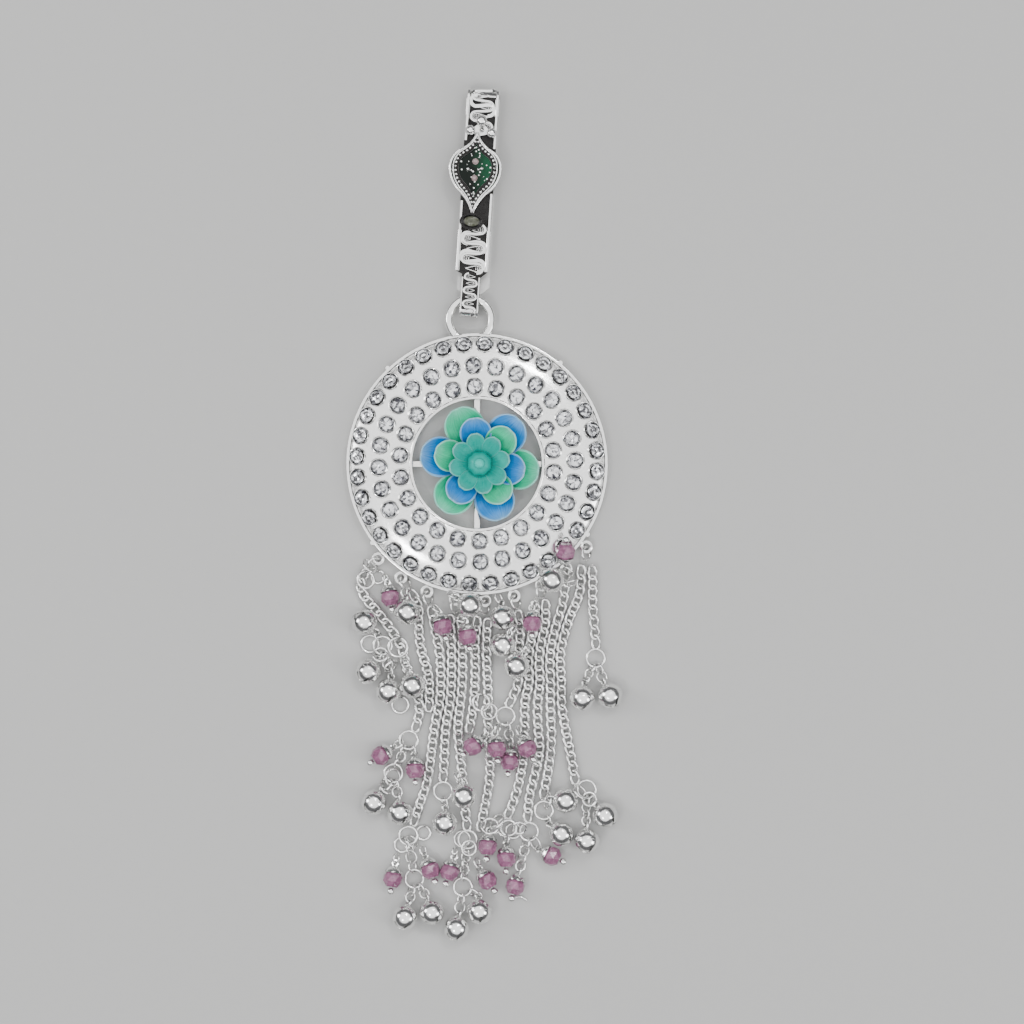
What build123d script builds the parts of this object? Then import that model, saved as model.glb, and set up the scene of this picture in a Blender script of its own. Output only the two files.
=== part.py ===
from build123d import *
import os
from math import acos, asin, atan2, ceil, cos, degrees, hypot, pi, radians, sin, sqrt, tan

# Hair ornament that lies on its back: spring clip, crystal medallion with a flower, fringe of chains.
# Millimetres. The origin is on the resting plane under the medallion's centre, +Y runs to the clip.

# Medallion plate
PLATE_R = 30.0
HOLE_R = 14.75
SHELL = 1.4
DOME_APEX_SHARE = 0.377
DOME_TOP = 4.4
DOME_DROP = 1.8
RIM_W = 0.8
RIM_H = 2.8
GROOVE_W = 0.5
GROOVE_H = 2.1
INNER_RIM_W = 0.8
INNER_RIM_H = 4.0
NUB_R = 0.7
NUB_ANGLES = (133.0, 50.5, 37.0 - 180.0, -32.5)

# Crystals in their collars
STONE_R = 1.7
STONE_CROWN = 0.75
STONE_GIRDLE = 0.45
STONE_TABLE_SHARE = 0.56
STONE_SIDES = 8
POCKET_PLAY = 0.15
POCKET_DEPTH = 0.5
COLLAR_W = 0.3
COLLAR_H = 0.3
SEAT_GAP = 0.05
# name, share of the way from the hole to the plate's edge, space for each stone, angle of the first
STONE_ROWS = (
    ("crystals_outer_row", 0.8328, 4.79, 86.4),
    ("crystals_middle_row", 0.5082, 5.05, 92.0),
    ("crystals_inner_row", 0.1869, 5.03, 91.9),
)

# Spokes and hub behind the flower
HUB_R = 5.0
HUB_H = 2.3
SPOKE_W = 1.4
SPOKE_Z = 0.6
SPOKE_T = 1.3
SPOKE_ANGLES = (0.0, 90.0, 180.0, 270.0)

# Hanging ring at the plate's edge
HANG_R = 4.85
HANG_WIRE_R = 1.0
HANG_X = -1.6
HANG_STAND = 3.06
HINGE_PLAY = 0.2

# Eyelets and their jump rings
EYELET_COUNT = 9
EYELET_FIRST = -136.3
EYELET_STEP = 12.39
EYELET_NECK = 0.25
EYELET_R = 1.15
EYELET_WIRE_R = 0.4
EYELET_Z = 1.6
JUMP_R = 1.5
JUMP_WIRE_R = 0.3
JUMP_ROLL = 50.0
JUMP_HEADINGS = (-135.0, -50.0, -80.0, -90.0, -90.0, -75.0, -95.0, -93.0, -90.0)

# Flower layers: name, petals, first angle, tip radius, lobe radius, base height, rise, thickness
FLOWER_X = 0.6
FLOWER_LAYERS = (
    ("flower_outer_petals", 6, 50.0, 14.0, 4.9, 2.4, 2.4, 0.9),
    ("flower_middle_petals", 6, 50.0, 10.7, 3.7, 3.4, 3.0, 0.8),
    ("flower_inner_cup", 8, 0.0, 7.2, 2.2, 4.3, 3.4, 0.7),
)
FLOWER_GAP = 0.1
CENTRE_R = 2.9
CENTRE_H = 2.6
CENTRE_Z = 5.85
KNOB_R = 1.2
STEM_R = 0.9

# Clip: local u runs across, v runs up from the ring's wire, z up
CLIP_TILT = 3.76
CLIP_V_TOP = 48.3
CLIP_W = 7.4
STRIP_T = 0.55
ARM_GAP = 3.7
TONGUE_W = 4.2
TONGUE_SHIFT = -0.1
SHOULDER_V = 5.0
SHOULDER_RUN = 1.5
BACK_TIP_V = 1.7
BACK_TIP_RUN = 1.6
BACK_SHIFT = 0.5
CURL_V = -1.85
CURL_LEG_FLAT_V = 0.9
CURL_LEG_END_V = 4.1
CURL_LEG_END_DROP = 0.5
BORDER_W = 0.8
RELIEF_H = 0.3
SCROLL_PITCH = 4.15
SCROLL_R = 1.25
SCROLL_REACH = 2.75
SCROLL_W = 0.75

# Plaque on the front arm
PLAQUE_U = -0.75
PLAQUE_V = 30.0
PLAQUE_HALF_W = 5.15
PLAQUE_HALF_H = 9.1
PLAQUE_LEAN = 0.14
PLAQUE_BODY_H = 1.7
PLAQUE_BAND = 1.0
PLAQUE_BAND_H = 0.8
RECESS_IN = 1.35
RECESS_DEPTH = 0.6
ENAMEL_PLAY = 0.08
ENAMEL_T = 0.45
BEAD_ROW_IN = 0.68
BEAD_ROW_R = 0.3
BEAD_ROW_STEP = 0.86
# granule balls: u, v from the plaque's centre, radius
GRANULES = ((-1.65, 8.45, 1.15), (0.75, 10.7, 1.35), (0.95, 8.65, 0.6), (3.2, 8.05, 1.15))
PEDESTAL_H = 0.6
GRANULE_LIFT = 0.6
TAB_FOOT_V = 7.2
BEZEL_V = -12.3
BEZEL_A = 2.3
BEZEL_B = 1.5
BEZEL_H = 1.5
BEZEL_WALL = 0.45
CABOCHON_H = 0.9
MOTIF_STONE_R = 0.75
MOTIF_STONE_VS = (1.3, -2.5)
MOTIF_BALL_R = 0.3

# Chain strands, each a tube of the chain's width. The fringe's tables measure y from the lowest
# point of the medallion's edge, at y = -PLATE_R.
CHAIN_R = 1.1
CHAIN_Z = 1.15
FILLET_SHARE = 0.45
# name: route points (x, y) from the jump ring to the free end
STRANDS = {
    "chain_01": ((-25.5, 5.4), (-27.1, 2.8), (-26.0, -0.5), (-23.0, -3.7), (-19.8, -7.8),
                 (-17.2, -12.0), (-16.6, -15.6), (-14.9, -19.8), (-13.3, -23.7), (-13.2, -28.0),
                 (-14.3, -31.0)),
    "chain_02": ((-15.1, 0.7), (-13.3, -2.3), (-13.4, -6.0), (-13.3, -9.4), (-12.8, -13.1),
                 (-11.5, -16.6), (-10.8, -21.1), (-11.1, -26.3)),
    "chain_03": ((-10.6, -3.1), (-9.9, -6.9), (-8.9, -11.0), (-8.4, -15.2), (-8.3, -19.5),
                 (-8.5, -24.8), (-9.6, -29.0), (-10.3, -34.3), (-10.8, -38.9), (-11.5, -43.4),
                 (-13.1, -47.8), (-14.7, -52.6)),
    "chain_04": ((-6.2, -5.1), (-6.1, -8.3), (-5.8, -12.4), (-5.9, -20.0), (-6.2, -25.3),
                 (-7.1, -29.4), (-7.4, -34.3), (-7.6, -38.9), (-7.8, -42.5)),
    "chain_05": ((-3.8, -5.1), (-3.3, -8.7), (-3.4, -12.9), (-3.3, -19.3), (-3.8, -24.8),
                 (-4.5, -29.9), (-4.0, -35.4), (-3.4, -41.1), (-2.8, -48.0), (-2.3, -53.6)),
    "chain_06": ((0.1, -5.5), (-0.6, -10.1), (-0.4, -14.7), (-0.5, -21.6), (-1.0, -26.7),
                 (-1.8, -31.3)),
    "chain_07": ((2.4, -5.9), (2.1, -10.1), (2.3, -17.0), (2.6, -23.9), (2.5, -29.7),
                 (3.0, -36.6), (2.9, -43.0), (1.8, -48.3), (0.7, -53.8)),
    "chain_08": ((9.4, -4.0), (10.0, -7.6), (9.7, -11.3), (9.1, -15.4), (9.7, -19.5),
                 (8.4, -23.0), (7.2, -25.3)),
    "chain_09": ((13.2, -1.8), (13.5, -5.5), (12.2, -11.3), (11.6, -15.6), (12.1, -20.0),
                 (10.8, -24.6), (11.0, -30.8), (10.6, -37.7), (9.7, -43.0), (8.3, -47.8),
                 (6.9, -50.8)),
    "chain_10": ((15.7, -1.6), (15.9, -6.0), (14.6, -11.3), (14.1, -15.6), (14.5, -20.0),
                 (13.8, -24.8), (14.0, -30.8), (14.5, -35.9), (13.0, -42.3), (11.7, -47.4),
                 (11.6, -51.7)),
    "chain_11": ((20.2, 2.3), (19.9, -1.6), (18.4, -6.0), (17.0, -11.3), (16.6, -15.6),
                 (16.9, -20.2), (16.8, -26.7), (17.2, -33.1), (16.6, -39.5), (15.1, -46.4)),
    "chain_12": ((23.9, 6.3), (23.9, 2.1), (23.0, -1.4), (21.1, -5.5), (19.4, -11.3),
                 (19.0, -15.6), (19.4, -20.2), (19.3, -24.8), (20.2, -30.3), (21.6, -37.0),
                 (22.6, -43.0)),
    "chain_13": ((26.4, 6.3), (26.6, 2.7), (26.4, -1.4), (26.9, -6.5), (27.3, -12.0)),
}

# Free rings at the strands' ends and where drops gather: (x, y) of each centre
GATHER_R = 2.1
GATHER_WIRE_R = 0.3
GATHER_Z = 1.3
GATHER_RINGS = {
    "drop_rings_left": ((-21.7, -11.6),),
    "drop_rings_middle": ((6.5, -27.8),),
    "drop_rings_lower_left": ((-15.7, -33.3), (-19.2, -40.9), (-15.8, -55.2), (-14.4, -65.1)),
    "drop_rings_lower_middle": ((-7.8, -45.0), (-2.2, -56.1), (-3.3, -67.0)),
    "drop_rings_lower_right": ((6.7, -53.3), (11.9, -54.3), (15.3, -49.4), (25.1, -44.6)),
    "drop_rings_right": ((27.2, -14.5),),
}

# Bells
BELL_R = 3.0
BELL_WALL = 0.4
BELL_SLOT = 0.5
BELL_SLOT_REACH = 4.6
BELL_SLOT_DEPTH = 1.9
BELL_LOOP_R = 0.75
BELL_LOOP_WIRE_R = 0.28
BELL_LOOP_AT = 3.6

# Cut glass beads with cap and headpin
BEAD_R = 2.2
BEAD_END_R = 1.25
BEAD_HALF = 1.9
BEAD_BELT = 0.75
BEAD_SIDES = 8
BEAD_HOLE_R = 0.45
CAP_R = 2.05
CAP_LIP_AT = 1.3
CAP_TOP_AT = 2.95
CAP_GAP = 0.14
PIN_R = 0.28
PIN_BALL_R = 0.85
PIN_BALL_AT = 2.85
PIN_LOOP_R = 0.7
PIN_LOOP_WIRE_R = 0.25
PIN_LOOP_AT = 3.6
RING_LAP = 0.8
RING_WIRE_R = 0.25

# Drops. Each row: x, y of the bell's or bead's middle, heading from its loop to its mouth or ball,
# height of the middle, height of the loop, number of linking rings, and the point that they run
# to: x, y, height, and the hook there: how far short the last wire stops, and that ring's roll.
# A drop with no ring lies loose on the chains, its loop turned to face that point.
FLOOR_BELL = 3.05
HIGH_BELL = 5.5
FLOOR_BEAD = 2.4
HIGH_BEAD = 4.75
LOW_LOOP = 1.7
HIGH_LOOP = 4.0
HOOK_Z = 1.2
GATHER_HOOK = (1.4, 58.0)
WIDE_HOOK = (1.4, 48.0)
OPEN_HOOK = (0.0, 30.0)
RUN_Z = 1.5
BELLS = {
    "bells_left": (
        (-25.8, -6.2, 140.0, FLOOR_BELL, LOW_LOOP, 1, -21.7, -11.6, HOOK_Z, GATHER_HOOK),
        (-24.9, -17.5, -126.0, FLOOR_BELL, LOW_LOOP, 1, -21.7, -11.6, HOOK_Z, GATHER_HOOK),
        (-20.3, -22.0, -100.0, FLOOR_BELL, LOW_LOOP, 3, -21.7, -11.6, HOOK_Z, GATHER_HOOK),
        (-14.7, -20.5, -70.0, HIGH_BELL, 4.4, 0, -16.6, -14.6, 3.7, OPEN_HOOK),
        (-15.9, -3.9, -80.0, 4.7, 3.2, 0, -16.9, 1.8, 3.4, OPEN_HOOK),
    ),
    "bells_middle": (
        (-1.6, -2.2, -30.0, 5.2, 4.6, 0, -6.6, 0.8, 3.8, OPEN_HOOK),
        (5.8, -5.1, -85.0, 3.4, LOW_LOOP, 0, 4.4, 0.4, LOW_LOOP, OPEN_HOOK),
        (5.9, -11.4, -120.0, FLOOR_BELL, 4.6, 0, 8.9, -7.2, 3.6, OPEN_HOOK),
        (9.0, -16.1, -120.0, HIGH_BELL, 4.4, 0, 12.0, -11.4, 3.6, OPEN_HOOK),
        (17.1, 3.5, 165.0, 5.6, 4.4, 0, 22.6, 2.7, 3.4, OPEN_HOOK),
    ),
    "bells_right": (
        (24.1, -23.5, -100.0, FLOOR_BELL, LOW_LOOP, 3, 27.2, -14.5, HOOK_Z, GATHER_HOOK),
        (30.4, -23.0, -65.0, FLOOR_BELL, LOW_LOOP, 2, 27.2, -14.5, HOOK_Z, GATHER_HOOK),
    ),
    "bells_lower_left": (
        (-23.6, -47.4, -124.0, FLOOR_BELL, LOW_LOOP, 1, -19.2, -40.9, HOOK_Z, WIDE_HOOK),
        (-17.6, -49.7, -82.0, FLOOR_BELL, LOW_LOOP, 2, -19.2, -40.9, HOOK_Z, GATHER_HOOK),
        (-16.5, -73.7, -106.0, FLOOR_BELL, LOW_LOOP, 2, -14.4, -65.1, HOOK_Z, GATHER_HOOK),
        (-10.3, -72.5, -70.0, FLOOR_BELL, LOW_LOOP, 2, -14.4, -65.1, HOOK_Z, GATHER_HOOK),
    ),
    "bells_lower_middle": (
        (-7.4, -52.1, -92.0, FLOOR_BELL, LOW_LOOP, 1, -7.8, -45.0, HOOK_Z, GATHER_HOOK),
        (-3.0, -45.7, -75.0, HIGH_BELL, 4.6, 0, -4.8, -40.2, 3.8, OPEN_HOOK),
        (-4.7, -76.2, -100.0, FLOOR_BELL, LOW_LOOP, 2, -3.3, -67.0, HOOK_Z, GATHER_HOOK),
        (0.5, -72.3, -88.0, FLOOR_BELL, LOW_LOOP, 1, -3.3, -67.0, HOOK_Z, GATHER_HOOK),
    ),
    "bells_lower_right": (
        (20.3, -47.0, -12.0, FLOOR_BELL, 4.0, 0, 15.4, -48.1, HOOK_Z, OPEN_HOOK),
        (19.3, -54.6, -38.0, FLOOR_BELL, LOW_LOOP, 1, 15.3, -49.4, HOOK_Z, GATHER_HOOK),
        (29.3, -50.4, -49.0, FLOOR_BELL, LOW_LOOP, 1, 25.1, -44.6, HOOK_Z, GATHER_HOOK),
        (25.1, -56.2, -88.0, FLOOR_BELL, LOW_LOOP, 4, 25.1, -44.6, HOOK_Z, GATHER_HOOK),
    ),
}
BEADS = {
    "upper": (
        (-19.9, -0.6, -80.0, FLOOR_BEAD, LOW_LOOP, 0, -21.5, 4.7, LOW_LOOP, OPEN_HOOK),
        (-7.8, -7.1, -75.0, HIGH_BEAD, HIGH_LOOP, 0, -10.1, -2.2, 3.4, OPEN_HOOK),
        (-2.1, -9.4, -80.0, HIGH_BEAD, HIGH_LOOP, 0, -4.7, -4.9, 3.4, OPEN_HOOK),
        (12.6, -6.4, -90.0, HIGH_BEAD, HIGH_LOOP, 0, 13.7, -0.9, 3.4, OPEN_HOOK),
        (20.2, 9.9, 88.0, 5.95, 4.95, 0, 21.5, 4.4, 3.8, OPEN_HOOK),
    ),
    "middle": (
        (-1.0, -34.5, -140.0, HIGH_BEAD, HIGH_LOOP, 0, 2.9, -30.7, 3.5, OPEN_HOOK),
        (4.5, -35.0, -85.0, HIGH_BEAD, HIGH_LOOP, 0, 5.2, -29.4, 3.3, OPEN_HOOK),
        (7.4, -38.2, -97.0, FLOOR_BEAD, LOW_LOOP, 3, 6.5, -27.8, HOOK_Z, GATHER_HOOK),
        (11.5, -35.0, -60.0, HIGH_BEAD, HIGH_LOOP, 0, 9.4, -29.9, 3.5, OPEN_HOOK),
    ),
    "lower_left": (
        (-22.1, -36.8, -147.0, FLOOR_BEAD, LOW_LOOP, 1, -15.9, -32.6, HOOK_Z, GATHER_HOOK),
        (-14.2, -40.1, -88.0, FLOOR_BEAD, LOW_LOOP, 1, -15.7, -33.3, HOOK_Z, GATHER_HOOK),
        (-19.3, -65.0, -100.0, FLOOR_BEAD, LOW_LOOP, 0, -18.4, -59.2, LOW_LOOP, OPEN_HOOK),
        (-10.7, -63.0, -68.0, FLOOR_BEAD, LOW_LOOP, 0, -12.8, -57.5, LOW_LOOP, OPEN_HOOK),
    ),
    "lower_middle": (
        (-6.3, -63.4, -108.0, FLOOR_BEAD, LOW_LOOP, 0, -5.1, -57.9, LOW_LOOP, OPEN_HOOK),
        (2.4, -65.4, -56.0, FLOOR_BEAD, LOW_LOOP, 0, -0.4, -60.4, LOW_LOOP, OPEN_HOOK),
    ),
    "lower_right": (
        (2.4, -57.6, -95.0, FLOOR_BEAD, LOW_LOOP, 1, 6.7, -53.3, HOOK_Z, GATHER_HOOK),
        (6.7, -60.4, -91.0, FLOOR_BEAD, LOW_LOOP, 1, 6.7, -53.3, HOOK_Z, GATHER_HOOK),
        (8.7, -66.7, -105.0, FLOOR_BEAD, LOW_LOOP, 4, 11.9, -54.3, HOOK_Z, GATHER_HOOK),
        (17.2, -59.8, -26.0, FLOOR_BEAD, LOW_LOOP, 1, 11.9, -54.3, HOOK_Z, WIDE_HOOK),
    ),
}
# Runs of rings between two gather rings: x, y of each, number of rings, part of the fringe
LINK_RUNS = (
    (-15.7, -33.3, -19.2, -40.9, 3, "drop_rings_lower_left"),
    (-15.8, -55.2, -14.4, -65.1, 3, "drop_rings_lower_left"),
    (-2.2, -56.1, -3.3, -67.0, 5, "drop_rings_lower_middle"),
)


def polar(radius, angle, x=0.0, y=0.0):
    """Point in plan at an angle in degrees about (x, y)."""
    return (x + radius * cos(radians(angle)), y + radius * sin(radians(angle)))


def disc(radius, bottom, height, x=0.0, y=0.0):
    """Upright cylinder standing on the height bottom."""
    return Pos(x, y, bottom + height / 2) * Cylinder(radius, height)


def aimed(origin, z_dir, x_dir=None):
    """Placement with its own Z along z_dir."""
    return Plane(origin=origin, z_dir=z_dir, x_dir=x_dir).location


def ring_place(near, far, roll):
    """Placement of a round ring from near to far, rolled about the line between them."""
    along = Vector(*far) - Vector(*near)
    side = Vector(0, 0, 1).cross(along).normalized()
    up = along.normalized().cross(side)
    turn = radians(roll)
    normal = up * cos(turn) + side * sin(turn)
    return aimed(Vector(*near) + along / 2, normal, along.normalized())


def ring_between(near, far, roll, wire):
    """Round ring whose wire passes through both points."""
    radius = (Vector(*far) - Vector(*near)).length / 2
    return ring_place(near, far, roll) * Torus(radius, wire)


def band_radius(share):
    """Radius at a share of the way from the hole to the plate's edge."""
    return HOLE_R + share * (PLATE_R - HOLE_R)


def dome_arc_r():
    """Radius of the dome's section, from its drop between the crest and the groove."""
    run = PLATE_R - RIM_W - GROOVE_W - band_radius(DOME_APEX_SHARE)
    return (run**2 + DOME_DROP**2) / (2 * DOME_DROP)


def dome_z(radius):
    """Height of the plate's domed face."""
    arc_r = dome_arc_r()
    return DOME_TOP - arc_r + sqrt(arc_r**2 - (radius - band_radius(DOME_APEX_SHARE)) ** 2)


def dome_tilt(radius):
    """Outward lean of the domed face in degrees."""
    return degrees(asin((radius - band_radius(DOME_APEX_SHARE)) / dome_arc_r()))


def plate():
    """Hollow-backed domed annulus with a rim on each edge."""
    inner_r = HOLE_R + INNER_RIM_W
    outer_r = PLATE_R - RIM_W
    groove_r = outer_r - GROOVE_W
    under_in = (inner_r, dome_z(inner_r) - SHELL)
    apex_r = band_radius(DOME_APEX_SHARE)
    under_mid = (apex_r, DOME_TOP - SHELL)
    under_out = (groove_r, dome_z(groove_r) - SHELL)
    outline = Polyline(
        (groove_r, dome_z(groove_r)),
        (outer_r, GROOVE_H),
        (outer_r, RIM_H),
        (PLATE_R, RIM_H),
        (PLATE_R, 0),
        (outer_r, 0),
        (outer_r, under_out[1]),
        under_out,
    )
    outline += ThreePointArc(under_out, under_mid, under_in)
    outline += Polyline(
        under_in,
        (inner_r, 0),
        (HOLE_R, 0),
        (HOLE_R, INNER_RIM_H),
        (inner_r, INNER_RIM_H),
        (inner_r, dome_z(inner_r)),
    )
    outline += ThreePointArc(
        (inner_r, dome_z(inner_r)), (apex_r, DOME_TOP), (groove_r, dome_z(groove_r))
    )
    return revolve(Plane.XZ * make_face(outline), Axis.Z)


def stone_places(share, space, first):
    """Placements of a row's stones on the dome, each with Z square to it."""
    places = []
    radius = band_radius(share)
    count = round(2 * pi * radius / space)
    for index in range(count):
        angle = first - index * 360.0 / count
        lean = radians(dome_tilt(radius))
        x, y = polar(radius, angle)
        out_x, out_y = polar(sin(lean), angle)
        places.append(aimed((x, y, dome_z(radius)), (out_x, out_y, cos(lean))))
    return places


def crystal(radius, crown, girdle, sides):
    """Flat-backed cut stone: girdle prism, crown facets and table."""
    belt = RegularPolygon(radius, sides)
    body = extrude(belt, girdle)
    table = RegularPolygon(radius * STONE_TABLE_SHARE, sides, rotation=180.0 / sides)
    crown_faces = loft([Pos(0, 0, girdle) * belt, Pos(0, 0, girdle + crown) * table], ruled=True)
    return body + crown_faces


def eyelet_point(index):
    """Middle of an eyelet's hole."""
    return polar(PLATE_R + EYELET_NECK + EYELET_R, EYELET_FIRST + index * EYELET_STEP)


def wire_bow():
    """How far the inner side of the hanging ring bows back over the width of the tongue."""
    reach = TONGUE_W / 2 + HANG_R * sin(radians(CLIP_TILT)) - TONGUE_SHIFT
    inner_r = HANG_R - HANG_WIRE_R
    return inner_r - sqrt(inner_r**2 - reach**2)


def hang_z():
    """Height of the hanging ring, whose wire runs just under the front arm."""
    return STRIP_T + ARM_GAP - HANG_WIRE_R - wire_bow() / 2 - HINGE_PLAY


def medallion_frame():
    """Cast plate with its collars, spokes, hub, eyelets and rim nubs as one solid."""
    body = plate()
    joined = []
    pockets = []
    for _, share, space, first in STONE_ROWS:
        for place in stone_places(share, space, first):
            collar_r = STONE_R + POCKET_PLAY + COLLAR_W
            collar = disc(collar_r, -POCKET_DEPTH, POCKET_DEPTH + COLLAR_H)
            joined.append(place * collar)
            pocket = disc(STONE_R + POCKET_PLAY, -POCKET_DEPTH, POCKET_DEPTH + 2 * COLLAR_H)
            pockets.append(place * pocket)
    joined.append(disc(HUB_R, 0, HUB_H, x=FLOWER_X))
    for angle in SPOKE_ANGLES:
        run = HOLE_R + INNER_RIM_W / 2
        bar = Pos(run / 2, 0, SPOKE_Z + SPOKE_T / 2) * Box(run, SPOKE_W, SPOKE_T)
        joined.append(Rot(0, 0, angle) * bar)
    for index in range(EYELET_COUNT):
        x, y = eyelet_point(index)
        joined.append(Pos(x, y, EYELET_Z) * Torus(EYELET_R, EYELET_WIRE_R))
        angle = EYELET_FIRST + index * EYELET_STEP
        neck_x, neck_y = polar(PLATE_R - RIM_W / 2, angle)
        neck = aimed((neck_x, neck_y, EYELET_Z), (cos(radians(angle)), sin(radians(angle)), 0))
        length = EYELET_NECK + RIM_W / 2
        joined.append(neck * Pos(0, 0, length / 2) * Cylinder(EYELET_WIRE_R, length))
    for angle in NUB_ANGLES:
        x, y = polar(PLATE_R, angle)
        joined.append(Pos(x, y, RIM_H / 2) * Cylinder(NUB_R, RIM_H))
    body = body.fuse(*joined)
    body = body.cut(*pockets)
    return body


def hanging_ring():
    """Heavy wire ring whose cut ends meet the plate's edge."""
    ring = Pos(HANG_X, PLATE_R + HANG_STAND, hang_z()) * Torus(HANG_R, HANG_WIRE_R)
    return ring - disc(PLATE_R + SEAT_GAP, 0, 2 * hang_z())


def crystal_row(share, space, first):
    """One ring of cut crystals, each resting just clear of its pocket's floor."""
    stone = Pos(0, 0, SEAT_GAP - POCKET_DEPTH) * crystal(STONE_R, STONE_CROWN, STONE_GIRDLE, STONE_SIDES)
    return Compound(children=[place * stone for place in stone_places(share, space, first)])


def flower_layer(petals, first, tip_r, lobe_r, base, rise, thick):
    """Rosette of round petals cut from a dished shell."""
    sphere_r = (tip_r**2 + rise**2) / (2 * rise)
    lobes = disc(tip_r - 1.6 * lobe_r, 0, 4 * rise)
    for index in range(petals):
        x, y = polar(tip_r - lobe_r, first + index * 360.0 / petals)
        lobes += disc(lobe_r, 0, 4 * rise, x, y)
    dish = Sphere(sphere_r) - Sphere(sphere_r - thick)
    layer = Pos(0, 0, sphere_r) * dish & Pos(0, 0, -rise) * lobes
    return Pos(FLOWER_X, 0, base) * layer


def flower_centre():
    """Bud in the middle: short stem, dome and knob."""
    stem_foot = FLOWER_LAYERS[-1][5] + FLOWER_LAYERS[-1][7] + FLOWER_GAP
    stem = disc(STEM_R, stem_foot, CENTRE_Z - stem_foot + FLOWER_GAP)
    bud = Pos(0, 0, CENTRE_Z) * scale(Sphere(CENTRE_R), (1, 1, CENTRE_H / CENTRE_R))
    bud = bud - disc(2 * CENTRE_R, CENTRE_Z - 2 * CENTRE_R, 2 * CENTRE_R)
    knob = Pos(0, 0, CENTRE_Z + CENTRE_H) * Sphere(KNOB_R)
    return Pos(FLOWER_X, 0, 0) * (stem + bud + knob)


def clip_frame():
    """Placement of the clip's local frame: origin on the hinge axis above the resting plane."""
    return Pos(HANG_X, PLATE_R + HANG_STAND + HANG_R - wire_bow() / 2, 0) * Rot(0, 0, -CLIP_TILT)


def box_between(u0, u1, v0, v1, z0, z1):
    """Block between two corners in the clip's frame."""
    return Pos((u0 + u1) / 2, (v0 + v1) / 2, (z0 + z1) / 2) * Box(u1 - u0, v1 - v0, z1 - z0)


def front_underside():
    return STRIP_T + ARM_GAP


def front_top():
    return front_underside() + STRIP_T


def bend_radius():
    """Mid-thickness radius of the bend that joins the two arms."""
    return (ARM_GAP + STRIP_T) / 2


def clip_arms():
    """Front arm with its shoulders, top bend and back arm with its chamfered tip."""
    half = CLIP_W / 2
    mid_z = STRIP_T / 2 + bend_radius()
    bend_v = CLIP_V_TOP - bend_radius() - STRIP_T / 2
    low, high = front_underside(), front_top()
    tongue_half = TONGUE_W / 2
    plan = Polyline(
        (-half, bend_v),
        (-half, SHOULDER_V + SHOULDER_RUN),
        (TONGUE_SHIFT - tongue_half, SHOULDER_V + SHOULDER_RUN / 2),
        (TONGUE_SHIFT - tongue_half, SHOULDER_V),
        (TONGUE_SHIFT + tongue_half, SHOULDER_V),
        (half, SHOULDER_V + SHOULDER_RUN),
        (half, bend_v),
        close=True,
    )
    front = Pos(0, 0, low) * extrude(make_face(plan), high - low)
    back_plan = Polyline(
        (-half, bend_v),
        (-half + BACK_SHIFT, BACK_TIP_V + BACK_TIP_RUN / 2),
        (-half + BACK_SHIFT + BACK_TIP_RUN, BACK_TIP_V),
        (half / 2 + BACK_SHIFT, BACK_TIP_V),
        (half + BACK_SHIFT, BACK_TIP_V + BACK_TIP_RUN),
        (half, bend_v),
        close=True,
    )
    back = extrude(make_face(back_plan), STRIP_T)
    tube = Cylinder(bend_radius() + STRIP_T / 2, CLIP_W) - Cylinder(bend_radius() - STRIP_T / 2, CLIP_W)
    tube = Pos(0, bend_v, mid_z) * Rot(0, 90, 0) * tube
    bend = tube & box_between(-half, half, bend_v, CLIP_V_TOP + 1, -1, high + 1)
    return front + back + bend


def tongue():
    """Narrow end of the front arm, curled down round the ring's wire and back up under the arm."""
    top = front_underside() + STRIP_T / 2
    curl_r = top - hang_z()
    low = top - 2 * curl_r
    end_v = CURL_V - curl_r
    path = FilletPolyline(
        (0, SHOULDER_V + SHOULDER_RUN, top),
        (0, end_v, top),
        (0, end_v, low),
        (0, CURL_LEG_FLAT_V, low),
        (0, CURL_LEG_END_V, top - STRIP_T - CURL_LEG_END_DROP),
        radius=curl_r * 0.999,
    )
    section = Plane(origin=path @ 0, z_dir=path % 0, x_dir=(1, 0, 0)) * Rectangle(TONGUE_W, STRIP_T)
    return Pos(TONGUE_SHIFT, 0, 0) * sweep(section, path=path)


def scroll_ridge(start_v, end_v):
    """Serpentine ridge of round loops that runs along the front arm."""
    half_pitch = SCROLL_PITCH / 2
    reach = SCROLL_REACH - SCROLL_R
    span = hypot(2 * reach, half_pitch)
    lean = asin(2 * SCROLL_R / span) - atan2(half_pitch, 2 * reach)
    height = RELIEF_H + SEAT_GAP
    ridge = None
    count = int((end_v - start_v - 2 * SCROLL_R) / half_pitch) + 1
    for index in range(count):
        side = 1 if index % 2 == 0 else -1
        v = start_v + SCROLL_R + index * half_pitch
        ring = Cylinder(SCROLL_R + SCROLL_W / 2, height) - Cylinder(SCROLL_R - SCROLL_W / 2, height)
        open_side = box_between(-2 * SCROLL_R, 0, -SCROLL_R, SCROLL_R, -1, 1)
        neck = SCROLL_R * sin(lean)
        open_side = Pos(-neck, 0, 0) * open_side
        loop = Pos(side * reach, v, 0) * Rot(0, 0, 0 if side > 0 else 180) * (ring - open_side)
        ridge = loop if ridge is None else ridge + loop
        if index + 1 < count:
            leg_length = 2 * sqrt((span / 2) ** 2 - SCROLL_R**2) + SCROLL_W
            leg = Rot(0, 0, side * degrees(lean)) * Box(leg_length, SCROLL_W, height)
            ridge = ridge + Pos(0, v + half_pitch / 2, 0) * leg
    return Pos(0, 0, front_top() - SEAT_GAP + height / 2) * ridge


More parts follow.
